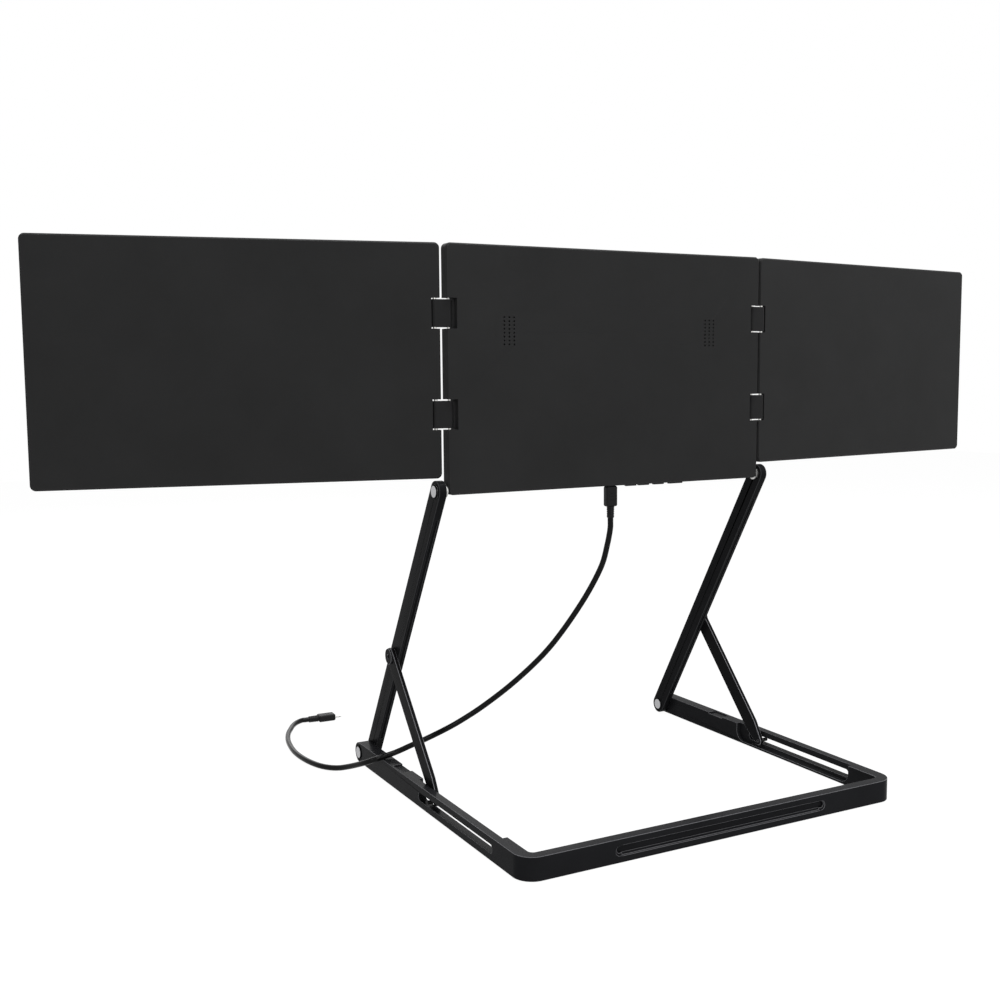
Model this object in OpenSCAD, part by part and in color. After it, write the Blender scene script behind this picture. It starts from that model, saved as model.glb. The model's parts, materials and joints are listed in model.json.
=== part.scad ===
// Laptop screen extender: three hinged displays on a folding U-frame stand.
// Row axes: +Z up, the screens face -Y, +X is the user's right hand.
// The origin is on the table, under the middle of the base's back bar.

/* [Stand base] */
// From the front pivots to the middle of the back bar
base_reach = 321.8; // [312:0.2:360]
// Top of the frame above the table
base_h = 19.4; // [17:0.2:23]
// How far the rubber pads stand below the frame
pad_h = 0.6; // [0.4:0.1:1.2]
// Width of each arm
arm_w = 11.4; // [10:0.1:14]
// Width of the back bar
bar_w = 9.6; // [8.8:0.1:14]
// Outside plan radius of the two back corners
corner_r = 16; // [14:0.5:30]
// Length of the blind groove in the back bar's outer face
groove_len = 208; // [120:1:260]
// Height of that groove
groove_h = 8.2; // [6:0.1:10]
// Depth of that groove
groove_deep = 3; // [1.5:0.1:4]

/* [Uprights and struts] */
// Length of an upright between its two pivots
upright_len = 307.4; // [250:0.2:307.4]
// Width of an upright, seen from the side
upright_w = 18; // [15:0.2:18.4]
// Thickness of an upright
upright_t = 7; // [5.4:0.1:10]
// Lean of the uprights above the table
stand_angle = 59.2; // [52:0.2:63]
// From the front pivot to the strut pivot, along the upright
strut_at = 123.2; // [121.2:0.2:125.2]
// Length of a strut between its pivot and its foot pin
strut_len = 142.5; // [140.5:0.5:144.5]
// Width of a strut
strut_w = 15.6; // [12:0.2:16]
// Thickness of a strut
strut_t = 3.6; // [2.6:0.1:3.8]
// Depth of the recess that takes the strut in the arm's inner face
recess_deep = 4.2; // [4:0.1:5]
// Height of the through slot for the foot roller
slot_h = 7.2; // [7.2:0.1:8.4]
// Radius of the foot roller
roller_r = 1.75; // [1.5:0.05:1.75]

/* [Centre display] */
// Width of the centre display
centre_w = 325.8; // [318:0.2:380]
// Height of the centre display
centre_h = 207.4; // [200:0.2:250]
// Thickness of the centre display
centre_t = 10; // [9.6:0.1:13]
// From the stand pivots down to the display's bottom edge
centre_drop = 3.3; // [2.8:0.1:5]
// Depth of the stand pivots behind the display's back face
pivot_depth = 6.4; // [5.8:0.1:6.6]
// Wall of the centre housing
centre_wall = 1.6; // [1.2:0.1:2]

/* [Wings] */
// Width of each wing
wing_w = 321; // [300:0.1:360]
// Height of each wing
wing_h = 193.2; // [189.5:0.1:194.6]
// Thickness of each wing
wing_t = 7; // [6.8:0.1:8]
// Wall of a wing housing
wing_wall = 1.2; // [1:0.1:1.5]
// Angle of the user's left wing towards the user
left_angle = 7.6; // [0:0.2:30]
// Angle of the user's right wing towards the user
right_angle = 11.8; // [0:0.2:30]
// Corner radius of the displays
panel_r = 4.5; // [3:0.5:8]
// Chamfer round the back edges
edge_c = 1.2; // [0.6:0.1:1.4]

/* [Glass and bezels] */
// Height of the glass on all three displays
glass_h = 186; // [170:0.5:187]
// From the top edge of a display to its glass
glass_top = 2.4; // [2:0.1:3.4]
// Thickness of the glass
glass_t = 1.1; // [0.8:0.1:1.2]
// Thickness of the bezel frame
bezel_t = 1.2; // [1.2:0.1:1.6]
// Bezel width beside the hinges
hinge_bezel = 7.8; // [7.7:0.1:10]
// Bezel width at a wing's free edge
free_bezel = 2; // [1.8:0.1:5]
// Thickness of the liquid crystal module in the centre
centre_lcd_t = 3; // [2.4:0.1:3.2]
// Thickness of the liquid crystal module in a wing
wing_lcd_t = 2.6; // [2:0.1:2.7]

/* [Wing hinges] */
// Distance between the two pins of a hinge
hinge_pitch = 12; // [11.8:0.1:14]
// Radius of the hinge pins
hinge_pin_r = 1.5; // [1.2:0.1:1.6]
// Round end of a hinge block
link_r = 2.8; // [2.6:0.1:2.9]
// Height of a hinge block
link_h = 22.8; // [16:0.2:28]
// Height of the lower hinges above the stand pivots
hinge_low = 63.8; // [50:0.2:80]
// Height of the upper hinges above the stand pivots
hinge_high = 146.9; // [130:0.1:170]
// Inset of a hinge pin from the edge of its display
pin_inset = 4.2; // [3.8:0.1:4.3]
// Depth of the pins in the centre display
centre_pin_deep = 5.6; // [5:0.1:5.8]
// Depth of the pins in a wing
wing_pin_deep = 2.7; // [2.6:0.1:3.2]

/* [Speakers, port and buttons] */
// From the side of the centre display to the middle of each speaker grille
grille_inset = 58.2; // [40:0.1:90]
// Height of the grilles' middle above the stand pivots
grille_y = 132.9; // [90:0.1:160]
// Radius of a grille hole
grille_r = 0.85; // [0.5:0.05:1.1]
// Spacing of the grille columns
grille_dx = 4.7; // [3:0.1:6]
// Spacing of the grille rows
grille_dy = 3.24; // [2.6:0.01:4]
// Length of the three push buttons
button_len = 11.2; // [7:0.1:12]
// Length of the rocker button
rocker_len = 14.8; // [12:0.1:18]
// Width of the buttons across the display's edge
button_w = 3.2; // [2.4:0.1:3.4]
// How far the buttons stand out of the edge
button_out = 1.3; // [0.8:0.1:1.6]

/* [Cable] */
// Diameter of the cable
cable_d = 5.2; // [4:0.1:5.4]
// Width of a plug's grip
grip_w = 11.4; // [10.4:0.1:12.4]
// Thickness of a plug's grip
grip_t = 7.2; // [7:0.1:7.8]
// Length of a plug's grip
grip_len = 18.5; // [15:0.5:24]

/* [Hidden] */
$fn = 48;
eps = 0.01;
cut = 1;

// Clearances: fixed in its seat, running on its shaft, and free between moving faces
seat_gap = 0.02;
run_gap = 0.05;
free_gap = 0.3;

// Stand: heights and places across the width
frame_h = base_h - pad_h;
pivot_z = pad_h + frame_h / 2;
pivot_gap = 2.8;
arm_gap = 0.4;
strut_gap = 0.6;
upright_in = centre_w / 2 + pivot_gap;
upright_out = upright_in + upright_t;
arm_in = upright_out + arm_gap;
arm_out = arm_in + arm_w;
strut_in = upright_out + strut_gap;
strut_out = strut_in + strut_t;
recess_face = arm_in + recess_deep;
front_y = -base_reach;
back_y = bar_w / 2;
tip_r = frame_h / 2;
top_y = front_y + upright_len * cos(stand_angle);
top_z = pivot_z + upright_len * sin(stand_angle);

// Linkage: the strut's lean, a little over the true one so that the roller runs low in its slot at rest
roller_low = 0.5;
strut_lean = asin((strut_at * sin(stand_angle) + roller_low) / strut_len);
strut_y = front_y + strut_at * cos(stand_angle);
strut_z = pivot_z + strut_at * sin(stand_angle);
steepest = 63;
steep_reach = strut_at * cos(steepest) + sqrt(pow(strut_len, 2) - pow(strut_at * sin(steepest), 2));
steep_lean = asin(strut_at * sin(steepest) / strut_len);
slot_front = steep_reach - roller_r - 4.9;
slot_back = strut_at + strut_len + 12;
recess_front = steep_reach - frame_h / 2 / tan(steep_lean) - strut_w / 2 / sin(steep_lean) - 3;
recess_back = slot_back + 3.6;
recess_floor = pad_h + 2.2;
recess_corner = 9;
notch_from = 80;
notch_len = 22;
notch_deep = 1.4;
notch_lip = 2;

// Stand hardware
base_pin_r = 4;
base_head_r = 6.4;
base_ring_r = 8;
base_ring_deep = 1;
base_head_t = 0.9;
cap_r = 6.1;
cap_t = 1;
cap_stud_r = 2.4;
cap_stud_len = 2;
rivet_r = 2.5;
rivet_head_r = 7.2;
rivet_head_t = 1.5;
rivet_sunk = 4.3;
hex_key = 4;
foot_pin_r = 1.1;
foot_r = 4.4;
foot_taper = 18;
display_pin_r = 3.5;
display_head_r = 6;
display_head_t = 1.2;
spacer_r = 5.5;
tail_r = 2;
tail_len = 14;
rail_w = 2.4;
rail_deep = 1.2;
rail_inset = 24;
groove_slope = 2.2;
groove_lip = 0.8;

// Pads: [middle x, middle y, size x, size y], the arms' pads once for each side
pad_sink = 1;
pad_w = 6.4;
arm_pad_len = 44;
bar_pad_len = 96;
arm_x = (arm_in + arm_out) / 2;

// Displays: the back face's plane and the heights of the edges above the stand pivots
panel_back = top_y + pivot_depth;
panel_top = centre_h - centre_drop;
wing_foot = panel_top - wing_h;
glass_gap = 0.15;
bond = 0.05;
glass_r = 2.5;
bezel_c = 0.4;
notch_gap = 1.2;
notch_h = link_h + 2 * notch_gap;
notch_in = pin_inset + link_r + free_gap + 0.1;
back_notch_in = 9.6;
back_notch_deep = 4.6;
lug_h = 8;
lug_wall = 1.4;
lug_pin = 5;
hinge_ys = [hinge_low, hinge_high];
centre_rim = centre_t - bezel_t;
wing_rim = wing_t - bezel_t;

// Inside the centre display
board_z = centre_wall + 1;
board_t = 1;
board_x = -28;
board_w = 136;
board_y = 1.4;
board_h = 36;
stud_r = 2.6;
screw_r = 0.95;
screw_head_r = 1.9;
screw_head_t = 0.7;
screw_ys = [20, 33];
screw_xs = [-90, 34];
speaker_size = [17, 42, 3.6];
grille_x = centre_w / 2 - grille_inset;
grille_cols = 3;
grille_rows = 8;
button_xs = [-21.4, -35.3, -51.7];
rocker_x = -70.6;
button_z = 5;
button_slot = 0.25;
flange_t = 0.8;
flange_lip = 0.8;
stem_len = 1.1;
press = 0.4;
rocker_gap = 0.7;
rocker_slot = 0.45;
rocker_pin_r = 0.6;
rocker_stems = [rocker_x - rocker_len / 2 + 2.4, rocker_x + rocker_len / 2 - 2.4];
rocker_y = -centre_drop + centre_wall + rocker_gap + flange_t / 2;
stem_top = -centre_drop + centre_wall + free_gap + flange_t + stem_len;
switch_size = [4.6, 3.4, 2.4];

// Port and plugs
port_z = 5.2;
port_w = 9;
port_h = 3.2;
port_len = 7.4;
port_wall = 0.3;
shell_w = 8.3;
shell_t = 2.45;
shell_len = 6.5;
shell_wall = 0.3;
tongue_w = 6.6;
tongue_t = 0.7;
relief_len = 10;
relief_r = 3.5;
relief_end_r = 3.3;
relief_rings = 4;
plug_len = relief_len + grip_len;
port_y = panel_back - port_z;
near_exit_z = top_z - centre_drop - free_gap - plug_len;
far_plug_at = [182.4, -474.4, grip_t / 2];
far_plug_turn = 178.4;
far_plug_dir = [cos(far_plug_turn), sin(far_plug_turn), 0];

// Route of the cable, from the near plug over the arm to the far plug on the table
cable_sides = 8;
route = [
    [0, port_y, near_exit_z],
    [0, port_y, near_exit_z - 4],
    [0, port_y, near_exit_z - 8],
    [0.6, port_y - 0.4, near_exit_z - 14],
    [2.2, -165, 217],
    [6.1, -167.7, 198.8],
    [11.8, -171.4, 176.2],
    [20.5, -177, 153.7],
    [33.6, -185.4, 131.6],
    [48, -194.8, 114.9],
    [64.7, -205.5, 97.8],
    [80.2, -215.6, 81.9],
    [98.1, -227, 66.2],
    [111.9, -235.3, 55.4],
    [125.8, -243, 46],
    [144.7, -252.7, 35.5],
    [158, -259, 29.2],
    [166.4, -262.2, 25.4],
    [173.8, -262.8, 23.4],
    [182.2, -262.2, 22.25],
    [191.4, -262.6, 20.6],
    [197, -266.6, 18],
    [200.3, -272.6, 15.3],
    [203.6, -283.3, 11],
    [207.5, -293.6, 7.2],
    [212, -301.8, 4.6],
    [217.9, -310.9, 3.2],
    [223.9, -322, 2.8],
    [228.3, -337.3, 2.7],
    [230.8, -355, 2.7],
    [231.2, -374, 2.7],
    [229, -394, 2.7],
    [224.6, -416, 2.7],
    [217.6, -437, 2.7],
    [209.8, -452.6, 2.8],
    [204, -462.8, 2.9],
    [197.6, -470.4, 3.2],
    far_plug_at - 8 * far_plug_dir,
    far_plug_at - 4 * far_plug_dir,
    far_plug_at
];

// ---------- shared shapes ----------

// Rounded rectangle from x0, y0, with true arcs
module round_rect(x0, y0, w, h, r) {
    translate([x0 + r, y0]) square([w - 2 * r, h]);
    translate([x0, y0 + r]) square([w, h - 2 * r]);
    for (x = [x0 + r, x0 + w - r], y = [y0 + r, y0 + h - r]) translate([x, y]) circle(r);
}

// Plate of thickness t whose edges at z = 0 are chamfered by c
module chamfered_plate(x0, y0, w, h, t, r, c) {
    translate([0, 0, c]) linear_extrude(t - c) round_rect(x0, y0, w, h, r);
    for (x = [x0 + r, x0 + w - r], y = [y0 + r, y0 + h - r])
        translate([x, y, 0]) cylinder(h = c, r1 = r - c, r2 = r);
    translate([x0 + r, y0, 0]) rotate([90, 0, 90]) linear_extrude(w - 2 * r)
        polygon([[c, 0], [h - c, 0], [h, c], [0, c]]);
    translate([x0, y0 + h - r, 0]) rotate([90, 0, 0]) linear_extrude(h - 2 * r)
        polygon([[c, 0], [w - c, 0], [w, c], [0, c]]);
}

// Slot shape of length l between its outer ends, along x
module slot_shape(l, h) {
    translate([h / 2, -h / 2]) square([l - h, h]);
    for (x = [h / 2, l - h / 2]) translate([x, 0]) circle(d = h);
}

module ring(r_out, r_in, h) {
    difference() {
        cylinder(h = h, r = r_out);
        translate([0, 0, -cut]) cylinder(h = h + 2 * cut, r = r_in);
    }
}

// ---------- placement ----------

// Side planes: local x is row Y, local y is row Z, local z runs along row X from x
module side_plane(x) {
    translate([x, 0, 0]) rotate([90, 0, 90]) children();
}

// One child for each side, the second mirrored to -X
module both_sides() {
    children();
    mirror([1, 0, 0]) children();
}

module at_side(side) {
    if (side > 0) children();
    else mirror([1, 0, 0]) children();
}

// Along the upright: local x runs from the front pivot to the display pivot
module along_upright() {
    translate([front_y, pivot_z]) rotate(stand_angle) children();
}

// Display space: x across, y above the stand pivots, z from the back face towards the user
module on_display() {
    translate([0, panel_back, top_z]) rotate([90, 0, 0]) children();
}

// Hinge block space, with its origin on the centre pin
module on_link(side, angle) {
    on_display() at_side(side)
        translate([centre_w / 2 - pin_inset, 0, centre_pin_deep]) rotate([0, -angle / 2, 0]) children();
}

// Wing space: x from the hinged edge, y above the stand pivots, z from the wing's back face
module on_wing(side, angle) {
    on_link(side, angle) translate([hinge_pitch, 0, 0]) rotate([0, -angle / 2, 0])
        translate([-pin_inset, 0, -wing_pin_deep]) children();
}

// ---------- stand base ----------

module base_plan() {
    difference() {
        union() {
            translate([-arm_out, front_y]) square([2 * arm_out, base_reach + back_y - corner_r]);
            translate([corner_r - arm_out, front_y]) square([2 * (arm_out - corner_r), base_reach + back_y]);
            for (x = [corner_r - arm_out, arm_out - corner_r]) translate([x, back_y - corner_r]) circle(corner_r);
        }
        inner_r = corner_r - max(arm_w, bar_w);
        translate([-arm_in, front_y - cut]) square([2 * arm_in, base_reach - bar_w / 2 - inner_r + cut]);
        translate([inner_r - arm_in, front_y - cut]) square([2 * (arm_in - inner_r), base_reach - bar_w / 2 + cut]);
        for (x = [inner_r - arm_in, arm_in - inner_r]) translate([x, -bar_w / 2 - inner_r]) circle(inner_r);
    }
}

// Pocket in the arm's inner face, open at the top, with round lower corners
module strut_recess() {
    side_plane(arm_in - cut) linear_extrude(recess_deep + cut) {
        translate([front_y + recess_front, recess_floor + recess_corner])
            square([recess_back - recess_front, base_h]);
        translate([front_y + recess_front + recess_corner, recess_floor])
            square([recess_back - recess_front - 2 * recess_corner, base_h]);
        for (d = [recess_front + recess_corner, recess_back - recess_corner])
            translate([front_y + d, recess_floor + recess_corner]) circle(recess_corner);
    }
}

// Groove in the back face: a shallow lip, a narrower floor and a slope up to it from below
module back_groove() {
    low = groove_slope - groove_h / 2;
    translate([0, back_y, pivot_z]) {
        translate([-groove_len / 2, cut, 0]) rotate([90, 0, 0])
            linear_extrude(groove_lip + cut) slot_shape(groove_len, groove_h);
        translate([1 - groove_len / 2, -groove_lip / 2, (groove_h / 2 + low) / 2 - 0.2]) rotate([90, 0, 0])
            linear_extrude(groove_deep - groove_lip / 2) slot_shape(groove_len - 2, groove_h / 2 - low - 0.4);
        translate([6 - groove_len / 2, 0, 0]) rotate([90, 0, 90]) linear_extrude(groove_len - 12)
            polygon([[-groove_lip / 2, 0.4 - groove_h / 2], [-groove_lip, 0.4 - groove_h / 2],
                [0.1 - groove_deep, low + 0.4], [0.1 - groove_deep, 0], [-groove_lip / 2, 0]]);
    }
}

module pad_outlines(grow) {
    for (x = [-arm_x, arm_x], y = [front_y + arm_pad_len / 2 + 4, -corner_r - arm_pad_len / 2])
        translate([x, y]) round_rect(-pad_w / 2 - grow, -arm_pad_len / 2 - grow, pad_w + 2 * grow,
            arm_pad_len + 2 * grow, 1.5);
    round_rect(-bar_pad_len / 2 - grow, -pad_w / 2 - grow, bar_pad_len + 2 * grow, pad_w + 2 * grow, 1.5);
}

module base_frame() {
    color([0.13, 0.13, 0.14]) difference() {
        union() {
            translate([0, 0, pad_h]) linear_extrude(frame_h) base_plan();
            both_sides() side_plane(arm_in) linear_extrude(arm_w) translate([front_y, pivot_z]) circle(tip_r);
        }
        both_sides() {
            side_plane(arm_in - cut) translate([front_y, pivot_z, 0])
                cylinder(h = arm_w + 2 * cut, r = base_pin_r + seat_gap);
            side_plane(arm_out - base_ring_deep) translate([front_y, pivot_z, 0])
                cylinder(h = base_ring_deep + cut, r = base_ring_r);
            side_plane(arm_in - cut) linear_extrude(arm_w + 2 * cut)
                translate([front_y + slot_front, pivot_z]) slot_shape(slot_back - slot_front, slot_h);
            strut_recess();
            // Shallow notch in the arm's top
            translate([arm_in - cut, front_y + notch_from, base_h - notch_deep])
                cube([arm_w - notch_lip + cut, notch_len, notch_deep + cut]);
        }
        back_groove();
        translate([0, 0, pad_h - cut]) linear_extrude(pad_sink + cut) pad_outlines(seat_gap);
    }
}

module base_pads() {
    color([0.08, 0.08, 0.08]) linear_extrude(pad_h + pad_sink) pad_outlines(0);
}

module base_pins() {
    color("silver") both_sides() side_plane(arm_out) translate([front_y, pivot_z, 0]) {
        translate([0, 0, -base_ring_deep]) cylinder(h = base_head_t + base_ring_deep, r = base_head_r);
        difference() {
            translate([0, 0, upright_in - arm_out]) cylinder(h = arm_out - upright_in, r = base_pin_r);
            translate([0, 0, upright_in - arm_out - cut])
                cylinder(h = cap_stud_len + cut + 0.2, r = cap_stud_r + seat_gap);
        }
    }
}

module base_pin_caps() {
    color("silver") both_sides() side_plane(upright_in) translate([front_y, pivot_z, 0]) {
        translate([0, 0, -cap_t]) cylinder(h = cap_t, r = cap_r);
        cylinder(h = cap_stud_len, r = cap_stud_r);
    }
}

module base_washers() {
    color([0.75, 0.75, 0.7]) both_sides() side_plane(upright_out) translate([front_y, pivot_z, 0])
        ring(tip_r - 1, base_pin_r + run_gap, arm_gap);
}

// ---------- uprights and struts ----------

module upright(side) {
    color([0.14, 0.14, 0.15]) at_side(side) difference() {
        side_plane(upright_in) linear_extrude(upright_t) along_upright() {
            translate([0, -upright_w / 2]) square([upright_len, upright_w]);
            for (x = [0, upright_len]) translate([x, 0]) circle(d = upright_w);
        }
        side_plane(upright_in - cut) translate([front_y, pivot_z, 0])
            cylinder(h = upright_t + 2 * cut, r = base_pin_r + run_gap);
        side_plane(upright_in - cut) translate([top_y, top_z, 0])
            cylinder(h = upright_t + 2 * cut, r = display_pin_r + run_gap);
        side_plane(upright_out - rivet_sunk) translate([strut_y, strut_z, 0])
            cylinder(h = rivet_sunk + cut, r = rivet_r + seat_gap);
        // Lengthwise groove in the rear edge
        side_plane(upright_in + (upright_t - rail_w) / 2) linear_extrude(rail_w) along_upright()
            translate([rail_inset, -upright_w / 2 - cut]) square([upright_len - 2 * rail_inset, rail_deep + cut]);
    }
}

module strut(side) {
    color([0.12, 0.12, 0.13]) at_side(side) difference() {
        side_plane(strut_in) linear_extrude(strut_t)
            translate([strut_y, strut_z]) rotate(-strut_lean) {
                circle(d = strut_w);
                polygon([[0, -strut_w / 2], [strut_len - foot_taper, -strut_w / 2], [strut_len, -foot_r],
                    [strut_len, foot_r], [strut_len - foot_taper, strut_w / 2], [0, strut_w / 2]]);
                translate([strut_len, 0]) circle(foot_r);
            }
        side_plane(strut_in - cut) translate([strut_y, strut_z, 0])
            cylinder(h = strut_t + 2 * cut, r = rivet_r + run_gap);
        side_plane(strut_in - cut) at_foot() cylinder(h = strut_t + 2 * cut, r = foot_pin_r + seat_gap);
    }
}

// Foot of the strut, in a side plane
module at_foot() {
    translate([strut_y + strut_len * cos(strut_lean), strut_z - strut_len * sin(strut_lean), 0]) children();
}

module strut_rivets() {
    color([0.1, 0.1, 0.1]) both_sides() side_plane(upright_out - rivet_sunk) translate([strut_y, strut_z, 0])
        difference() {
            union() {
                cylinder(h = strut_out - upright_out + rivet_sunk + run_gap, r = rivet_r);
                translate([0, 0, strut_out - upright_out + rivet_sunk + run_gap])
                    cylinder(h = rivet_head_t, r = rivet_head_r);
            }
            translate([0, 0, strut_out - upright_out + rivet_sunk + 0.4])
                cylinder(h = rivet_head_t + cut, d = hex_key / cos(30), $fn = 6);
        }
}

module strut_washers() {
    color([0.75, 0.75, 0.7]) both_sides() side_plane(upright_out) translate([strut_y, strut_z, 0])
        ring(strut_w / 2 - 0.6, rivet_r + run_gap, strut_gap);
}

// A spacer between display and upright, and a thin washer outside the upright
module friction_washers() {
    color([0.2, 0.2, 0.2]) both_sides() {
        side_plane(centre_w / 2 + run_gap) translate([top_y, top_z, 0])
            ring(spacer_r, display_pin_r + run_gap, pivot_gap - run_gap);
        side_plane(upright_out) translate([top_y, top_z, 0])
            ring(display_head_r, display_pin_r + run_gap, arm_gap);
    }
}

module foot_pins() {
    color([0.16, 0.16, 0.16]) both_sides() side_plane(strut_in) at_foot()
        cylinder(h = arm_out - strut_in - 0.4, r = foot_pin_r);
}

module foot_rollers() {
    color([0.1, 0.1, 0.1]) both_sides() side_plane(recess_face + free_gap) at_foot()
        ring(roller_r, foot_pin_r + run_gap, arm_out - recess_face - 2 * free_gap);
}

module display_pins() {
    color("silver") both_sides() side_plane(centre_w / 2) translate([top_y, top_z, 0]) {
        translate([0, 0, -tail_len]) cylinder(h = tail_len + eps, r = tail_r);
        cylinder(h = pivot_gap + upright_t + arm_gap + eps, r = display_pin_r);
        translate([0, 0, pivot_gap + upright_t + arm_gap]) cylinder(h = display_head_t, r = display_head_r);
    }
}

// ---------- displays ----------

// Outside and lugs of one hinged edge, with the notches still to cut
module hinge_lugs(edge_x, inward, wall, rim, deep_in, deep_z) {
    for (y = hinge_ys) {
        span = notch_h + 2 * lug_h;
        low_in = deep_in + lug_wall;
        translate([inward > 0 ? edge_x + wall / 2 : edge_x - low_in, y - span / 2, wall / 2])
            cube([low_in - wall / 2, span, deep_z - wall / 2]);
        translate([inward > 0 ? edge_x + wall / 2 : edge_x - hinge_bezel + 0.3, y - span / 2, wall / 2])
            cube([hinge_bezel - 0.3 - wall / 2, span, rim - wall / 2]);
    }
}

// Notches and pin bores of one hinged edge
module hinge_cuts(edge_x, inward, thick, pin_deep) {
    for (y = hinge_ys) {
        translate([inward > 0 ? edge_x - cut : edge_x - notch_in, y - notch_h / 2, -cut])
            cube([notch_in + cut, notch_h, thick + 2 * cut]);
        translate([edge_x + inward * pin_inset, y + notch_h / 2 + lug_pin + free_gap, pin_deep])
            rotate([90, 0, 0]) cylinder(h = notch_h + 2 * lug_pin + 2 * free_gap, r = hinge_pin_r + seat_gap);
    }
}

// Pins of one hinged edge
module hinge_pins(x, pin_deep) {
    color("silver") for (y = hinge_ys) translate([x, y + notch_h / 2 + lug_pin, pin_deep])
        rotate([90, 0, 0]) cylinder(h = notch_h + 2 * lug_pin, r = hinge_pin_r);
}

// Bezel frame round the glass, its outer front edge eased by bezel_c
module bezel(x0, y0, w, h, glass_x0, glass_w, rim) {
    difference() {
        translate([0, 0, rim + bezel_t]) mirror([0, 0, 1])
            chamfered_plate(x0, y0, w, h, bezel_t, panel_r, bezel_c);
        translate([0, 0, rim - cut]) linear_extrude(bezel_t + 2 * cut)
            round_rect(glass_x0 - glass_gap, panel_top - glass_top - glass_h - glass_gap,
                glass_w + 2 * glass_gap, glass_h + 2 * glass_gap, glass_r);
    }
}

module glass(x0, w, rim) {
    translate([0, 0, rim]) linear_extrude(glass_t)
        round_rect(x0, panel_top - glass_top - glass_h, w, glass_h, glass_r - glass_gap);
}

// Liquid crystal module behind the glass, with its driver strip along the bottom
module lcd(x0, w, rim, t) {
    y0 = panel_top - glass_top - glass_h;
    strip = 7;
    translate([x0 + 1, y0 + strip, rim - t]) cube([w - 2, glass_h - strip - 1, t - bond]);
    translate([x0 + w * 0.1, y0 + 1, rim - t / 2]) cube([w * 0.8, strip, t / 2 - bond]);
}

// ---------- centre display ----------

module grille_holes() {
    for (side = [-1, 1], i = [0 : grille_cols - 1], j = [0 : grille_rows - 1])
        translate([side * grille_x + (i - (grille_cols - 1) / 2) * grille_dx,
            grille_y + (j - (grille_rows - 1) / 2) * grille_dy, -cut])
            cylinder(h = centre_wall + 2 * cut, r = grille_r, $fn = 24);
}

module button_windows() {
    for (x = button_xs) button_window(x, button_len, button_slot);
    button_window(rocker_x, rocker_len, rocker_slot);
}

module button_window(x, len, gap) {
    translate([x - len / 2 - gap, -centre_drop - cut, button_z - button_w / 2 - button_slot])
        cube([len + 2 * gap, centre_wall + 2 * cut, button_w + 2 * button_slot]);
}

module centre_housing() {
    half = centre_w / 2;
    color([0.18, 0.18, 0.19]) on_display() difference() {
        union() {
            difference() {
                chamfered_plate(-half, -centre_drop, centre_w, centre_h, centre_rim, panel_r, edge_c);
                translate([0, 0, centre_wall]) linear_extrude(centre_t)
                    round_rect(-half + centre_wall, -centre_drop + centre_wall, centre_w - 2 * centre_wall,
                        centre_h - 2 * centre_wall, panel_r - centre_wall);
            }
            for (side = [-1, 1]) {
                hinge_lugs(side * half, -side, centre_wall, centre_rim, back_notch_in, back_notch_deep + 0.9);
                // Block that holds the tail of the display pin
                translate([side > 0 ? half - tail_len - 2 : -half + centre_wall / 2,
                    -centre_drop + centre_wall / 2, centre_wall / 2])
                    cube([tail_len + 2 - centre_wall / 2, centre_drop + tail_r + 2, centre_rim - centre_wall / 2]);
            }
            for (x = screw_xs, y = screw_ys) translate([x, y, centre_wall / 2])
                cylinder(h = board_z - centre_wall / 2, r = stud_r);
            // Boss for the rocker's pivot
            translate([rocker_x, rocker_y, centre_wall / 2]) cylinder(h = centre_wall / 2 + 1, r = 1.3);
            // Frames that hold the two speakers
            for (side = [-1, 1]) translate([side * grille_x, grille_y, centre_wall - eps])
                difference() {
                    translate([-speaker_size[0] / 2 - 1.2, -speaker_size[1] / 2 - 1.2, 0])
                        cube([speaker_size[0] + 2.4, speaker_size[1] + 2.4, 2]);
                    translate([-speaker_size[0] / 2 - 0.1, -speaker_size[1] / 2 - 0.1, -cut])
                        cube([speaker_size[0] + 0.2, speaker_size[1] + 0.2, 2 + 2 * cut]);
                }
        }
        for (side = [-1, 1]) {
            hinge_cuts(side * half, -side, centre_t, centre_pin_deep);
            for (y = hinge_ys) translate([side > 0 ? half - back_notch_in : -half - cut, y - notch_h / 2, -cut])
                cube([back_notch_in + cut, notch_h, back_notch_deep + cut]);
            translate([side * half, 0, pivot_depth]) rotate([0, -side * 90, 0])
                translate([0, 0, -cut]) cylinder(h = tail_len + 0.4 + cut, r = tail_r + seat_gap);
        }
        grille_holes();
        button_windows();
        translate([rocker_x, rocker_y, centre_wall - 0.6])
            cylinder(h = 2, r = rocker_pin_r + run_gap, $fn = 24);
        translate([-port_w / 2 - 0.1, -centre_drop - cut, port_z - port_h / 2 - 0.1])
            cube([port_w + 0.2, centre_wall + 2 * cut, port_h + 0.2]);
        for (x = screw_xs, y = screw_ys) translate([x, y, centre_wall + eps])
            cylinder(h = board_z, r = screw_r + seat_gap, $fn = 24);
    }
}

module centre_bezel() {
    half = centre_w / 2;
    color([0.1, 0.1, 0.11]) on_display() difference() {
        bezel(-half, -centre_drop, centre_w, centre_h, -half + hinge_bezel, centre_w - 2 * hinge_bezel,
            centre_rim);
        for (side = [-1, 1], y = hinge_ys)
            translate([side > 0 ? half - notch_in : -half - cut, y - notch_h / 2, -cut])
                cube([notch_in + cut, notch_h, centre_t + 2 * cut]);
    }
}

module centre_glass() {
    color([0.03, 0.03, 0.04]) on_display()
        glass(-centre_w / 2 + hinge_bezel, centre_w - 2 * hinge_bezel, centre_rim);
}

module centre_lcd() {
    color([0.6, 0.6, 0.62]) on_display()
        lcd(-centre_w / 2 + hinge_bezel, centre_w - 2 * hinge_bezel, centre_rim, centre_lcd_t);
}

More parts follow.
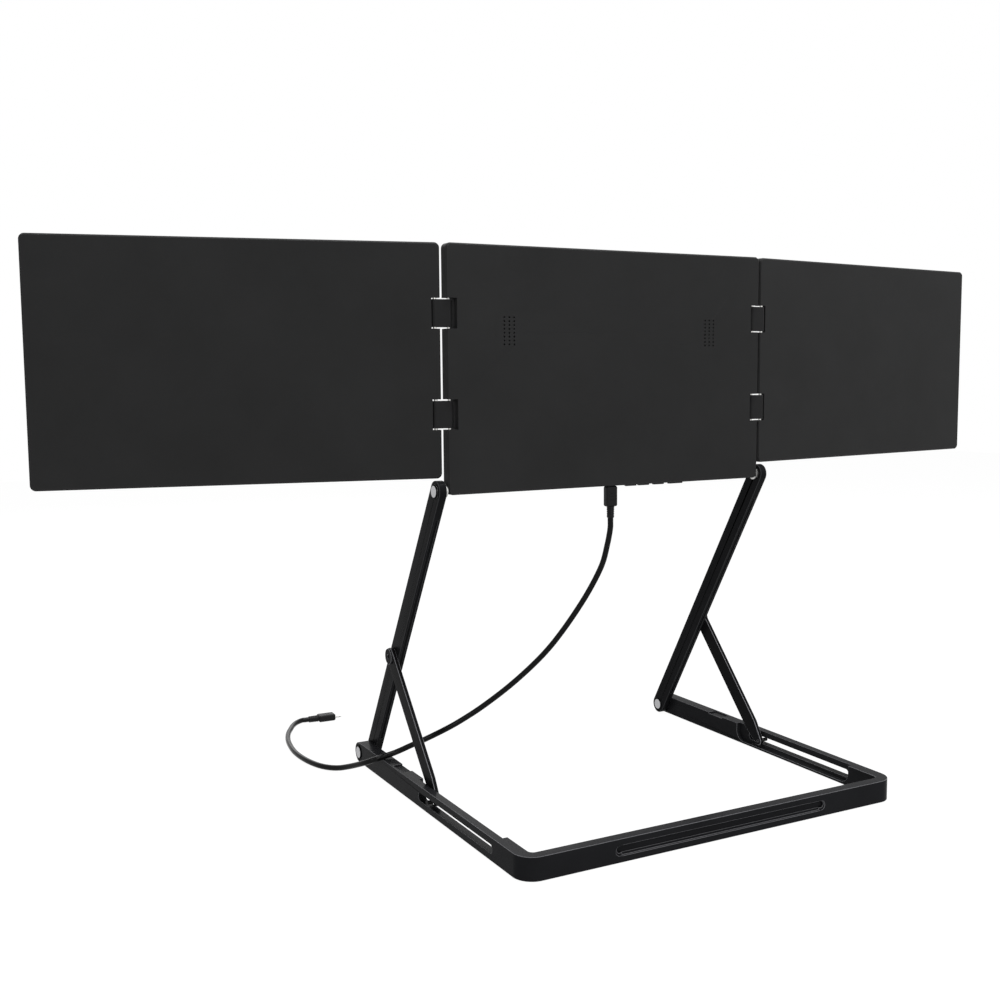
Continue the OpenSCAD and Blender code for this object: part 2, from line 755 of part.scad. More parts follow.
module driver_board() {
    color([0.05, 0.3, 0.15]) on_display() difference() {
        union() {
            translate([board_x - board_w / 2, board_y, board_z]) cube([board_w, board_h, board_t]);
            translate([-8, 14, board_z + board_t]) cube([14, 14, 1]);
            translate([-50, 16, board_z + board_t]) cube([10, 8, 0.9]);
            translate([16, 20, board_z + board_t]) cube([7, 7, 0.9]);
        }
        for (x = screw_xs, y = screw_ys) translate([x, y, board_z - cut])
            cylinder(h = board_t + 2 * cut, r = screw_r + run_gap, $fn = 24);
    }
}

module board_screws() {
    color("silver") on_display() for (x = screw_xs, y = screw_ys) translate([x, y, 0]) {
        translate([0, 0, centre_wall + 0.2]) cylinder(h = board_z + board_t - centre_wall, r = screw_r, $fn = 24);
        translate([0, 0, board_z + board_t]) cylinder(h = screw_head_t, r = screw_head_r, $fn = 24);
    }
}

module tact_switches() {
    color([0.7, 0.7, 0.68]) on_display() for (x = concat(button_xs, rocker_stems)) {
        translate([x - switch_size[0] / 2, stem_top + press + 0.2, board_z + board_t]) cube(switch_size);
        translate([x - 1, stem_top + press + 0.05, button_z - 0.7]) cube([2, 0.2, 1.2]);
    }
}

module speaker(side) {
    color([0.15, 0.15, 0.15]) on_display()
        translate([side * grille_x, grille_y, centre_wall]) difference() {
            translate([-speaker_size[0] / 2, -speaker_size[1] / 2, 0]) cube(speaker_size);
            // Mouth towards the grille, with the cone behind it
            translate([0, 0, -cut]) linear_extrude(0.8 + cut)
                translate([-speaker_size[0] / 2 + 1.5, 0])
                    round_rect(0, -speaker_size[1] / 2 + 6, speaker_size[0] - 3, speaker_size[1] - 12, 6);
        }
}

module usb_socket() {
    color("silver") on_display() translate([0, -centre_drop + 0.1, port_z]) rotate([-90, 0, 0]) {
        difference() {
            linear_extrude(port_len) slot_tube(port_w, port_h);
            translate([0, 0, -cut]) linear_extrude(port_len - 0.6 + cut)
                slot_tube(port_w - 2 * port_wall, port_h - 2 * port_wall);
        }
        translate([-tongue_w / 2, -tongue_t / 2, 1]) cube([tongue_w, tongue_t, port_len - 1.2]);
    }
}

// Oval tube section, centred
module slot_tube(w, h) {
    translate([-w / 2, 0]) slot_shape(w, h);
}

// ---------- buttons ----------

// Cap, retaining flange and stems of a button that is worked through the bottom edge
module button(x, len, gap, stems) {
    inside = -centre_drop + centre_wall + gap;
    translate([x - len / 2, -centre_drop - button_out, button_z - button_w / 2])
        cube([len, button_out + centre_wall + gap + eps, button_w]);
    translate([x - len / 2 - flange_lip, inside, button_z - button_w / 2 - flange_lip / 2])
        cube([len + 2 * flange_lip, flange_t, button_w + flange_lip]);
    for (s = stems) translate([s - 1.2, inside + flange_t - eps, button_z - 0.9])
        cube([2.4, stem_top - inside - flange_t + eps, 1.6]);
}

module push_button(x) {
    color([0.16, 0.16, 0.17]) on_display() button(x, button_len, free_gap, [x]);
}

module level_rocker() {
    color([0.16, 0.16, 0.17]) on_display() {
        button(rocker_x, rocker_len, rocker_gap, rocker_stems);
        translate([rocker_x, rocker_y, centre_wall - 0.4])
            cylinder(h = button_z - centre_wall, r = rocker_pin_r, $fn = 24);
    }
}

// ---------- wing hinges ----------

module hinge_blocks(side, angle) {
    color([0.11, 0.11, 0.12]) on_link(side, angle) for (y = hinge_ys) difference() {
        translate([0, y + link_h / 2, 0]) rotate([90, 0, 0]) linear_extrude(link_h)
            translate([-link_r, 0]) slot_shape(hinge_pitch + 2 * link_r, 2 * link_r);
        for (x = [0, hinge_pitch]) translate([x, y + link_h / 2 + cut, 0]) rotate([90, 0, 0])
            cylinder(h = link_h + 2 * cut, r = hinge_pin_r + run_gap);
    }
}

module centre_pins(side) {
    on_display() hinge_pins(side * (centre_w / 2 - pin_inset), centre_pin_deep);
}

module wing_pins(side, angle) {
    on_wing(side, angle) hinge_pins(pin_inset, wing_pin_deep);
}

// ---------- wings ----------

module wing_housing(side, angle) {
    color([0.17, 0.17, 0.18]) on_wing(side, angle) difference() {
        union() {
            difference() {
                chamfered_plate(0, wing_foot, wing_w, wing_h, wing_rim, panel_r, edge_c);
                translate([0, 0, wing_wall]) linear_extrude(wing_t)
                    round_rect(wing_wall, wing_foot + wing_wall, wing_w - 2 * wing_wall,
                        wing_h - 2 * wing_wall, panel_r - wing_wall);
            }
            hinge_lugs(0, 1, wing_wall, wing_rim, notch_in, wing_rim - wing_lcd_t - 0.2);
        }
        hinge_cuts(0, 1, wing_t, wing_pin_deep);
    }
}

module wing_bezel(side, angle) {
    color([0.1, 0.1, 0.11]) on_wing(side, angle) difference() {
        bezel(0, wing_foot, wing_w, wing_h, hinge_bezel, wing_w - hinge_bezel - free_bezel, wing_rim);
        for (y = hinge_ys) translate([-cut, y - notch_h / 2, -cut]) cube([notch_in + cut, notch_h, wing_t + 2 * cut]);
    }
}

module wing_glass(side, angle) {
    color([0.03, 0.03, 0.04]) on_wing(side, angle)
        glass(hinge_bezel, wing_w - hinge_bezel - free_bezel, wing_rim);
}

module wing_lcd(side, angle) {
    color([0.6, 0.6, 0.62]) on_wing(side, angle)
        lcd(hinge_bezel, wing_w - hinge_bezel - free_bezel, wing_rim, wing_lcd_t);
}

module wing_board(side, angle) {
    color([0.05, 0.3, 0.15]) on_wing(side, angle) translate([wing_w * 0.35, wing_foot + 6, wing_wall]) {
        cube([90, 16, 0.8]);
        translate([20, 4, 0.8]) cube([9, 9, 0.9]);
        translate([52, 5, 0.8]) cube([7, 7, 0.9]);
    }
}

// ---------- cable and plugs ----------

// Grip and ringed strain relief of a plug, from the cable's end along +x
module plug_grip() {
    color([0.13, 0.13, 0.14]) rotate([0, 90, 0]) {
        difference() {
            cylinder(h = relief_len, r1 = relief_end_r, r2 = relief_r);
            for (i = [1 : relief_rings]) translate([0, 0, i * relief_len / (relief_rings + 1)])
                ring(relief_r + 1, relief_end_r - 0.3, 0.7);
        }
        difference() {
            translate([0, 0, relief_len]) linear_extrude(grip_len)
                round_rect(-grip_t / 2, -grip_w / 2, grip_t, grip_w, 1.8);
            for (side = [-1, 1], x = [0.35, 0.5, 0.65])
                translate([side * (grip_t / 2), 0, relief_len + x * grip_len])
                    cube([0.5, grip_w * 0.6, 0.8], center = true);
        }
    }
}

module plug_shell() {
    color("silver") translate([plug_len, 0, 0]) rotate([0, 90, 0]) rotate(90) difference() {
        linear_extrude(shell_len) slot_tube(shell_w, shell_t);
        translate([0, 0, 0.8]) linear_extrude(shell_len)
            slot_tube(shell_w - 2 * shell_wall, shell_t - 2 * shell_wall);
    }
}

module at_near_plug() {
    translate([0, port_y, near_exit_z]) rotate([0, -90, 0]) rotate([90, 0, 0]) children();
}

module at_far_plug() {
    translate(far_plug_at) rotate(far_plug_turn) children();
}

function unit(v) = v / norm(v);

// Catmull-Rom point between b and c
function blend_point(a, b, c, d, t) =
    0.5 * (2 * b + (c - a) * t + (2 * a - 5 * b + 4 * c - d) * t * t + (3 * b - a - 3 * c + d) * t * t * t);

function smooth_line(p, steps) = concat(
    [for (i = [0 : len(p) - 2], k = [0 : steps - 1])
        blend_point(p[max(i - 1, 0)], p[i], p[i + 1], p[min(i + 2, len(p) - 1)], k / steps)],
    [p[len(p) - 1]]
);

function tangents(p) = [for (i = [0 : len(p) - 1]) unit(p[min(i + 1, len(p) - 1)] - p[max(i - 1, 0)])];

// Side directions carried along the line without twist
function side_dirs(t) = [
    for (i = 0, n = unit(cross(t[0], [0, 1, 0])); i < len(t);
        i = i + 1, n = i < len(t) ? unit(n - (n * t[i]) * t[i]) : n) n
];

module swept_tube(p, r, sides) {
    t = tangents(p);
    n = side_dirs(t);
    count = len(p);
    points = [for (i = [0 : count - 1], k = [0 : sides - 1])
        let (a = 360 * k / sides) p[i] + r * (cos(a) * n[i] + sin(a) * cross(t[i], n[i]))];
    walls = [for (i = [0 : count - 2], k = [0 : sides - 1])
        let (a = i * sides + k, b = i * sides + (k + 1) % sides) [a, a + sides, b + sides, b]];
    ends = [[for (k = [0 : sides - 1]) k], [for (k = [sides - 1 : -1 : 0]) (count - 1) * sides + k]];
    polyhedron(points = points, faces = concat(walls, ends), convexity = 10);
}

module cable() {
    color([0.12, 0.12, 0.12]) swept_tube(smooth_line(route, 2), cable_d / 2, cable_sides);
}

base_frame();
base_pads();
base_pins();
base_pin_caps();
base_washers();
upright(-1);  // left_upright
upright(1);  // right_upright
strut_rivets();
strut_washers();
friction_washers();
strut(-1);  // left_strut
strut(1);  // right_strut
foot_pins();
foot_rollers();
centre_housing();
centre_bezel();
centre_glass();
centre_lcd();
driver_board();
board_screws();
tact_switches();
speaker(-1);  // left_speaker
speaker(1);  // right_speaker
usb_socket();
display_pins();
centre_pins(-1);  // left_centre_pins
centre_pins(1);  // right_centre_pins
hinge_blocks(-1, left_angle);  // left_hinge_blocks
hinge_blocks(1, right_angle);  // right_hinge_blocks
push_button(button_xs[0]);  // power_button
push_button(button_xs[1]);  // menu_button
push_button(button_xs[2]);  // input_button
level_rocker();
wing_housing(-1, left_angle);  // left_wing_housing
wing_bezel(-1, left_angle);  // left_wing_bezel
wing_glass(-1, left_angle);  // left_wing_glass
wing_lcd(-1, left_angle);  // left_wing_lcd
wing_board(-1, left_angle);  // left_wing_board
wing_pins(-1, left_angle);  // left_wing_pins
wing_housing(1, right_angle);  // right_wing_housing
wing_bezel(1, right_angle);  // right_wing_bezel
wing_glass(1, right_angle);  // right_wing_glass
wing_lcd(1, right_angle);  // right_wing_lcd
wing_board(1, right_angle);  // right_wing_board
wing_pins(1, right_angle);  // right_wing_pins
at_near_plug() plug_grip();  // near_plug_grip
at_near_plug() plug_shell();  // near_plug_shell
cable();
at_far_plug() plug_grip();  // far_plug_grip
at_far_plug() plug_shell();  // far_plug_shell
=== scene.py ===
"""Dresses the laptop screen extender.

It gives the CAD nodes finishes and softened edges, makes the cable and its plugs, the turned pivot
pins and the picture films, and builds the studio.
"""
import json
import logging
import math
from dataclasses import dataclass
from enum import Enum
from typing import Callable, Sequence

import bmesh
import bpy
from mathutils import Matrix, Vector


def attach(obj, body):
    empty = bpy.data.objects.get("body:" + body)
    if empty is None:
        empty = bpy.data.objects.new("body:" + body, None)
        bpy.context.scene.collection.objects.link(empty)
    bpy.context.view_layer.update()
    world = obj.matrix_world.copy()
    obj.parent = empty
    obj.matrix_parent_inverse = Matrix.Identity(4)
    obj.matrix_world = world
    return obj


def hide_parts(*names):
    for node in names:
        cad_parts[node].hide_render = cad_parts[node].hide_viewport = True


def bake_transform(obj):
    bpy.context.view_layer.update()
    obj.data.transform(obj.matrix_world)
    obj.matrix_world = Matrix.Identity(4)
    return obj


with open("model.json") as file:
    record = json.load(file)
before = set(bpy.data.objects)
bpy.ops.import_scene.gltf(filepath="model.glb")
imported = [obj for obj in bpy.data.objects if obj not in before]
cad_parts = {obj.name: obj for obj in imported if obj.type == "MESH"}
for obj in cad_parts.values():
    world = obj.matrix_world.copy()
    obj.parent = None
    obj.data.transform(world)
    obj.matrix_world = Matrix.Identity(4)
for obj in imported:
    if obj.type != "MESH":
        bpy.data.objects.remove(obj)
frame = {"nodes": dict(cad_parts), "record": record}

LOG = logging.getLogger("screen_extender")
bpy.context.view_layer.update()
MM = 0.001
UP = Vector((0.0, 0.0, 1.0))
# face attribute that marks the bevel faces, on which the finishes paint a highlight
EDGE = "rounded_edge"
MERGE = 0.003 * MM  # corners closer than this become one
FLAT = math.radians(0.8)  # faces that meet at less become one
JOINTS = {joint["name"]: joint for joint in frame["record"]["behaviour"]["joints"]}

Colour = tuple[float, float, float]
Point = tuple[float, float, float]
Piece = bpy.types.Object
Node = bpy.types.Node
Socket = bpy.types.NodeSocket


class Side(Enum):
    """The user's left or right hand side; the value is the sign of X."""

    LEFT = -1
    RIGHT = 1

    @property
    def word(self) -> str:
        """Lower-case name, as in the node names."""
        return self.name.lower()


# ---------------- shader groups


class NodeDesk:
    """Small helper that adds and joins shader nodes in one node tree."""

    def __init__(self, tree: bpy.types.NodeTree) -> None:
        """Keeps the tree that the nodes are added to."""
        self.tree = tree

    def add(self, kind: str, inputs: dict[str, object] | None = None,
            **settings: object) -> Node:
        """Adds a node.

        Args:
            kind: Blender's node type.
            inputs: values of its inputs, set after the settings.
            settings: attributes set on the new node.

        Returns:
            The new node.
        """
        node = self.tree.nodes.new(kind)
        for key, value in settings.items():
            setattr(node, key, value)
        for name, value in (inputs or {}).items():
            node.inputs[name].default_value = value
        return node

    def join(self, source: Socket, target: Socket) -> None:
        """Links one socket to another."""
        self.tree.links.new(source, target)

    def noise(self, vector: Socket, scale: Socket | float, detail: float,
              rough: float = 0.5) -> Socket:
        """Adds a noise texture.

        Args:
            vector: coordinates in metres.
            scale: cells per metre, as a number or a socket.
            detail: octaves of noise.
            rough: how strong the finer octaves are.

        Returns:
            The noise's value, from 0 to 1.
        """
        node = self.add("ShaderNodeTexNoise", {"Detail": detail, "Roughness": rough})
        self.join(vector, node.inputs["Vector"])
        if isinstance(scale, (int, float)):
            node.inputs["Scale"].default_value = float(scale)
        else:
            self.join(scale, node.inputs["Scale"])
        return node.outputs["Fac"]

    def math(self, operation: str, first: Socket | float,
             second: Socket | float = 0.0, clamp: bool = False) -> Socket:
        """Adds a math node.

        Args:
            operation: Blender's name of the operation.
            first: first value or socket.
            second: second value or socket.
            clamp: keeps the result from 0 to 1.

        Returns:
            The result's socket.
        """
        node = self.add("ShaderNodeMath", operation=operation, use_clamp=clamp)
        for slot, value in enumerate((first, second)):
            if isinstance(value, (int, float)):
                node.inputs[slot].default_value = float(value)
            else:
                self.join(value, node.inputs[slot])
        return node.outputs[0]

    def spread(self, value: Socket, low: float, high: float,
               start: float = 0.0, end: float = 1.0) -> Socket:
        """Maps a value from one span to another, clamped.

        Args:
            value: the value's socket.
            low: result at start.
            high: result at end.
            start: first value of the span.
            end: last value of the span.

        Returns:
            The mapped value's socket.
        """
        node = self.add("ShaderNodeMapRange",
                        {"From Min": start, "From Max": end, "To Min": low, "To Max": high})
        self.join(value, node.inputs["Value"])
        return node.outputs["Result"]

    def blend(self, share: Socket, low: Sequence[float],
              high: Sequence[float]) -> Socket:
        """Blends two colours by a value.

        Args:
            share: socket that runs from 0 to 1.
            low: colour at 0.
            high: colour at 1.

        Returns:
            The blended colour's socket.
        """
        node = self.add("ShaderNodeMix", {"A": (*low, 1.0), "B": (*high, 1.0)}, data_type="RGBA")
        self.join(share, node.inputs["Factor"])
        return node.outputs["Result"]

    def bump(self, height: Socket, shader: Node, strength: float,
             depth: float) -> None:
        """Bends a shader's normal by a height.

        Args:
            height: the height's socket.
            shader: the surface shader.
            strength: share of the effect.
            depth: height of the relief, in millimetres.
        """
        node = self.add("ShaderNodeBump", {"Strength": strength, "Distance": depth * MM})
        self.join(height, node.inputs["Height"])
        self.join(node.outputs["Normal"], shader.inputs["Normal"])


def surface_group() -> bpy.types.NodeTree:
    """Group with a fine grain, broad clouding and faint scuffs, all from object coordinates.

    Returns:
        The node group, made at the first call.
    """
    found = bpy.data.node_groups.get("coat_surface")
    if found:
        return found
    group = bpy.data.node_groups.new("coat_surface", "ShaderNodeTree")
    face = group.interface
    for name, value in (("Grain Scale", 2500.0), ("Cloud Scale", 14.0), ("Scuff Scale", 90.0)):
        socket = face.new_socket(name, in_out="INPUT", socket_type="NodeSocketFloat")
        socket.default_value = value
    for name in ("Grain", "Cloud", "Scuff"):
        face.new_socket(name, in_out="OUTPUT", socket_type="NodeSocketFloat")
    desk = NodeDesk(group)
    start = desk.add("NodeGroupInput")
    end = desk.add("NodeGroupOutput")
    place = desk.add("ShaderNodeTexCoord").outputs["Object"]
    desk.join(desk.noise(place, start.outputs["Grain Scale"], 2.0, 0.6), end.inputs["Grain"])
    desk.join(desk.noise(place, start.outputs["Cloud Scale"], 4.0, 0.55), end.inputs["Cloud"])
    stretch = desk.add("ShaderNodeMapping", {"Rotation": (0.4, 0.3, 0.7), "Scale": (1.0, 9.0, 1.6)})
    desk.join(place, stretch.inputs["Vector"])
    lines = desk.noise(stretch.outputs["Vector"], start.outputs["Scuff Scale"], 5.0, 0.7)
    desk.join(desk.spread(lines, 0.0, 1.0, 0.63, 0.78), end.inputs["Scuff"])
    return group


def turned_group() -> bpy.types.NodeTree:
    """Group with the fine rings that a lathe leaves round a pin's axis.

    Returns:
        The node group, made at the first call.
    """
    found = bpy.data.node_groups.get("turned_rings")
    if found:
        return found
    group = bpy.data.node_groups.new("turned_rings", "ShaderNodeTree")
    face = group.interface
    face.new_socket("Centre", in_out="INPUT", socket_type="NodeSocketVector")
    spacing = face.new_socket("Rings Per Metre", in_out="INPUT", socket_type="NodeSocketFloat")
    spacing.default_value = 2600.0
    face.new_socket("Rings", in_out="OUTPUT", socket_type="NodeSocketFloat")
    desk = NodeDesk(group)
    start = desk.add("NodeGroupInput")
    end = desk.add("NodeGroupOutput")
    place = desk.add("ShaderNodeTexCoord").outputs["Object"]
    offset = desk.add("ShaderNodeVectorMath", operation="SUBTRACT")
    desk.join(place, offset.inputs[0])
    desk.join(start.outputs["Centre"], offset.inputs[1])
    flat = desk.add("ShaderNodeVectorMath", operation="MULTIPLY")
    flat.inputs[1].default_value = (0.0, 1.0, 1.0)
    desk.join(offset.outputs["Vector"], flat.inputs[0])
    length = desk.add("ShaderNodeVectorMath", operation="LENGTH")
    desk.join(flat.outputs["Vector"], length.inputs[0])
    turns = desk.math("MULTIPLY", length.outputs["Value"], start.outputs["Rings Per Metre"])
    wobble = desk.math("MULTIPLY", desk.noise(place, 900.0, 2.0), 1.5)
    wave = desk.math("SINE", desk.math("MULTIPLY", desk.math("ADD", turns, wobble), math.tau))
    desk.join(desk.spread(wave, 0.0, 1.0, -1.0, 1.0), end.inputs["Rings"])
    return group


# ---------------- finishes


@dataclass(frozen=True)
class Finish:
    """Surface that becomes one material, named after it."""

    name: str

    def material(self) -> bpy.types.Material:
        """Builds the material at the first call.

        Returns:
            The material.
        """
        found = bpy.data.materials.get(f"finish_{self.name}")
        if found:
            return found
        material = bpy.data.materials.new(f"finish_{self.name}")
        material.use_nodes = True
        self.wire(NodeDesk(material.node_tree), material.node_tree.nodes["Principled BSDF"])
        return material

    def wire(self, desk: NodeDesk, shader: Node) -> None:
        """Joins the surface's nodes to the shader.

        Args:
            desk: helper for the node tree.
            shader: the surface shader.
        """
        raise NotImplementedError


@dataclass(frozen=True)
class Coat(Finish):
    """Painted, anodised, moulded or rubber surface with a fine grain, and with a painted highlight
    on the rounded edges' faces where edge is set.
    """

    colour: Colour
    cloud: Colour
    roughness: float
    roughness_spread: float = 0.08
    grain_scale: float = 2500.0
    grain_depth: float = 0.02
    cloud_scale: float = 14.0
    scuff: float = 0.0
    metallic: float = 0.0
    specular: float = 0.5
    # grey of the painted highlight on the faces of the rounded edges; 0 paints none
    edge: float = 0.0

    def wire(self, desk: NodeDesk, shader: Node) -> None:
        """Joins the nodes to the shader.

        Args:
            desk: helper for the node tree.
            shader: the surface shader.
        """
        scales = {"Grain Scale": self.grain_scale, "Cloud Scale": self.cloud_scale}
        surface = desk.add("ShaderNodeGroup", scales, node_tree=surface_group())
        share = desk.spread(surface.outputs["Cloud"], 0.0, 1.0, 0.3, 0.7)
        tint = desk.blend(share, self.colour, self.cloud)
        if self.scuff:
            pale = tuple(min(1.0, value * 1.6 + 0.01) for value in self.colour)
            worn = desk.add("ShaderNodeMix", {"B": (*pale, 1.0)}, data_type="RGBA")
            scuffs = desk.math("MULTIPLY", surface.outputs["Scuff"], self.scuff)
            desk.join(scuffs, worn.inputs["Factor"])
            desk.join(tint, worn.inputs["A"])
            tint = worn.outputs["Result"]
        if self.edge:
            # painted highlight: the bevel faces get a light grey, varied with the clouding, in
            # place of the light that their rounding catches
            bright = (self.edge, self.edge, self.edge * 1.06, 1.0)
            rim = desk.add("ShaderNodeMix", {"B": bright}, data_type="RGBA")
            mark = desk.add("ShaderNodeAttribute", attribute_type="GEOMETRY", attribute_name=EDGE)
            highlight_share = desk.spread(surface.outputs["Cloud"], 0.75, 1.0)
            desk.join(desk.math("MULTIPLY", mark.outputs["Fac"], highlight_share), rim.inputs["Factor"])
            desk.join(tint, rim.inputs["A"])
            tint = rim.outputs["Result"]
        desk.join(tint, shader.inputs["Base Color"])
        low, high = self.roughness - self.roughness_spread, self.roughness + self.roughness_spread
        rough = desk.spread(surface.outputs["Grain"], low, high, 0.3, 0.7)
        desk.join(rough, shader.inputs["Roughness"])
        shader.inputs["Metallic"].default_value = self.metallic
        shader.inputs["Specular IOR Level"].default_value = self.specular
        desk.bump(surface.outputs["Grain"], shader, 0.35, self.grain_depth)


@dataclass(frozen=True)
class Turned(Finish):
    """Bright steel with turning rings round an axis that runs along X."""

    colour: Colour
    centre: Point
    roughness: float = 0.32
    rings: float = 2600.0

    def wire(self, desk: NodeDesk, shader: Node) -> None:
        """Joins the nodes to the shader.

        Args:
            desk: helper for the node tree.
            shader: the surface shader.
        """
        axis = {"Centre": self.centre, "Rings Per Metre": self.rings}
        turned = desk.add("ShaderNodeGroup", axis, node_tree=turned_group())
        surface = desk.add("ShaderNodeGroup", {"Cloud Scale": 160.0}, node_tree=surface_group())
        dark = tuple(value * 0.82 for value in self.colour)
        tint = desk.blend(surface.outputs["Cloud"], dark, self.colour)
        desk.join(tint, shader.inputs["Base Color"])
        low, high = self.roughness - 0.05, self.roughness + 0.07
        desk.join(desk.spread(turned.outputs["Rings"], low, high), shader.inputs["Roughness"])
        shader.inputs["Metallic"].default_value = 1.0
        desk.bump(turned.outputs["Rings"], shader, 0.25, 0.01)


@dataclass(frozen=True)
class Circuit(Finish):
    """Circuit board or display module back with tracks in a grid."""

    board: Colour
    track: Colour
    pitch: float = 1.6

    def wire(self, desk: NodeDesk, shader: Node) -> None:
        """Joins the nodes to the shader.

        Args:
            desk: helper for the node tree.
            shader: the surface shader.
        """
        place = desk.add("ShaderNodeTexCoord").outputs["Object"]
        bricks = desk.add("ShaderNodeTexBrick", {
            "Scale": 1.0 / (self.pitch * 4.0 * MM), "Mortar Size": 0.03,
            "Mortar": (*self.track, 1.0),
            "Color1": (*self.board, 1.0), "Color2": (*(value * 0.8 for value in self.board), 1.0)})
        turn = desk.add("ShaderNodeMapping", {"Rotation": (math.pi / 2, 0.0, 0.0)})
        desk.join(place, turn.inputs["Vector"])
        desk.join(turn.outputs["Vector"], bricks.inputs["Vector"])
        desk.join(bricks.outputs["Color"], shader.inputs["Base Color"])
        desk.join(desk.spread(desk.noise(place, 900.0, 2.0), 0.3, 0.5), shader.inputs["Roughness"])


@dataclass(frozen=True)
class DarkGlass(Finish):
    """Screen glass that shows the dark panel behind it."""

    colour: Colour
    glow: Colour
    roughness: float = 0.16
    specular: float = 0.36

    def wire(self, desk: NodeDesk, shader: Node) -> None:
        """Joins the nodes to the shader.

        Args:
            desk: helper for the node tree.
            shader: the surface shader.
        """
        place = desk.add("ShaderNodeTexCoord").outputs["Object"]
        cloud = desk.noise(place, 9.0, 3.0)
        desk.join(desk.blend(cloud, self.colour, self.glow), shader.inputs["Base Color"])
        smear = desk.noise(place, 45.0, 5.0, 0.65)
        desk.join(desk.spread(smear, self.roughness - 0.04, self.roughness + 0.06, 0.35, 0.7),
                  shader.inputs["Roughness"])
        shader.inputs["Specular IOR Level"].default_value = self.specular
        desk.bump(desk.noise(place, 4200.0, 1.0), shader, 0.15, 0.004)


def joint_place(name: str) -> Point:
    """Returns a joint's place in the row frame, in metres."""
    return tuple(JOINTS[name]["pos_m"])


# the edge values below are the greys of the painted highlights on the rounded edges
ANODISED = Coat("anodised_black", (0.0118, 0.012, 0.0132), (0.0148, 0.0151, 0.0166), 0.26,
                grain_scale=3200.0, grain_depth=0.012, cloud_scale=22.0, scuff=0.1, specular=0.013,
                edge=0.14)
# UPRIGHT_BLACK is a darker copy of the base frame's one black anodising: ANODISED's lighter grey is
# painted light and this darker grey is painted shade
UPRIGHT_BLACK = Coat("upright_black", (0.0088, 0.009, 0.0098), (0.0112, 0.0114, 0.0124), 0.28,
                     grain_scale=3200.0, grain_depth=0.012, cloud_scale=22.0, scuff=0.1,
                     specular=0.012, edge=0.045)
STRUT_PAINT = Coat("strut_paint", (0.0062, 0.0062, 0.0067), (0.0085, 0.0085, 0.0092), 0.26,
                   grain_scale=2400.0, scuff=0.1, specular=0.012, edge=0.24)
HOUSING = Coat("housing_moulding", (0.0188, 0.0189, 0.0191), (0.022, 0.0221, 0.0224), 0.55,
               grain_scale=3000.0, grain_depth=0.018, cloud_scale=16.0, specular=0.06, edge=0.07)
BEZEL = Coat("bezel_moulding", (0.01, 0.01, 0.0105), (0.014, 0.014, 0.0145), 0.5,
             grain_scale=2800.0, specular=0.1, edge=0.05)
HINGE_PAINT = Coat("hinge_paint", (0.0145, 0.0145, 0.015), (0.0175, 0.0175, 0.018), 0.42,
                   grain_scale=2600.0, scuff=0.15, specular=0.06, edge=0.06)
KEY_PLASTIC = Coat("key_plastic", (0.014, 0.014, 0.0145), (0.019, 0.019, 0.0195), 0.45,
                   specular=0.1, edge=0.06)
PLUG_PLASTIC = Coat("plug_moulding", (0.0085, 0.0085, 0.009), (0.012, 0.012, 0.0125), 0.4,
                    grain_scale=2200.0, grain_depth=0.025, specular=0.1)
JACKET = Coat("jacket_vinyl", (0.0042, 0.0042, 0.0045), (0.0062, 0.0062, 0.0066), 0.19, 0.03,
              grain_scale=1800.0, grain_depth=0.008, cloud_scale=40.0, specular=0.09)
RUBBER = Coat("pad_rubber", (0.012, 0.012, 0.012), (0.02, 0.02, 0.02), 0.75, grain_scale=1500.0,
              grain_depth=0.05)
NYLON = Coat("washer_nylon", (0.007, 0.007, 0.007), (0.011, 0.011, 0.011), 0.5, specular=0.1)
SPEAKER = Coat("speaker_box", (0.01, 0.01, 0.01), (0.02, 0.02, 0.02), 0.6)
SHEET_STEEL = Coat("sheet_steel", (0.55, 0.55, 0.54), (0.42, 0.42, 0.41), 0.34, grain_scale=1600.0,
                   grain_depth=0.01, metallic=1.0)
PIN_STEEL = Coat("pin_steel", (0.74, 0.73, 0.71), (0.6, 0.59, 0.57), 0.26, grain_scale=1800.0,
                 grain_depth=0.008, metallic=1.0)
BOARD = Circuit("solder_mask", (0.012, 0.07, 0.035), (0.03, 0.16, 0.08))
MODULE = Circuit("panel_module", (0.3, 0.3, 0.31), (0.38, 0.38, 0.39), 6.0)
SCREEN = DarkGlass("screen_glass", (0.004, 0.004, 0.005), (0.006, 0.006, 0.008))
PICTURE = DarkGlass("picture_area", (0.0105, 0.011, 0.0145), (0.0135, 0.014, 0.018), 0.2, 0.42)
BASE_CAP = Turned("base_cap_steel", (0.42, 0.42, 0.43), joint_place("stand_fold"))
TOP_CAP = Turned("top_cap_steel", (0.46, 0.46, 0.47), joint_place("display_tilt"))


# ---------------- workshop


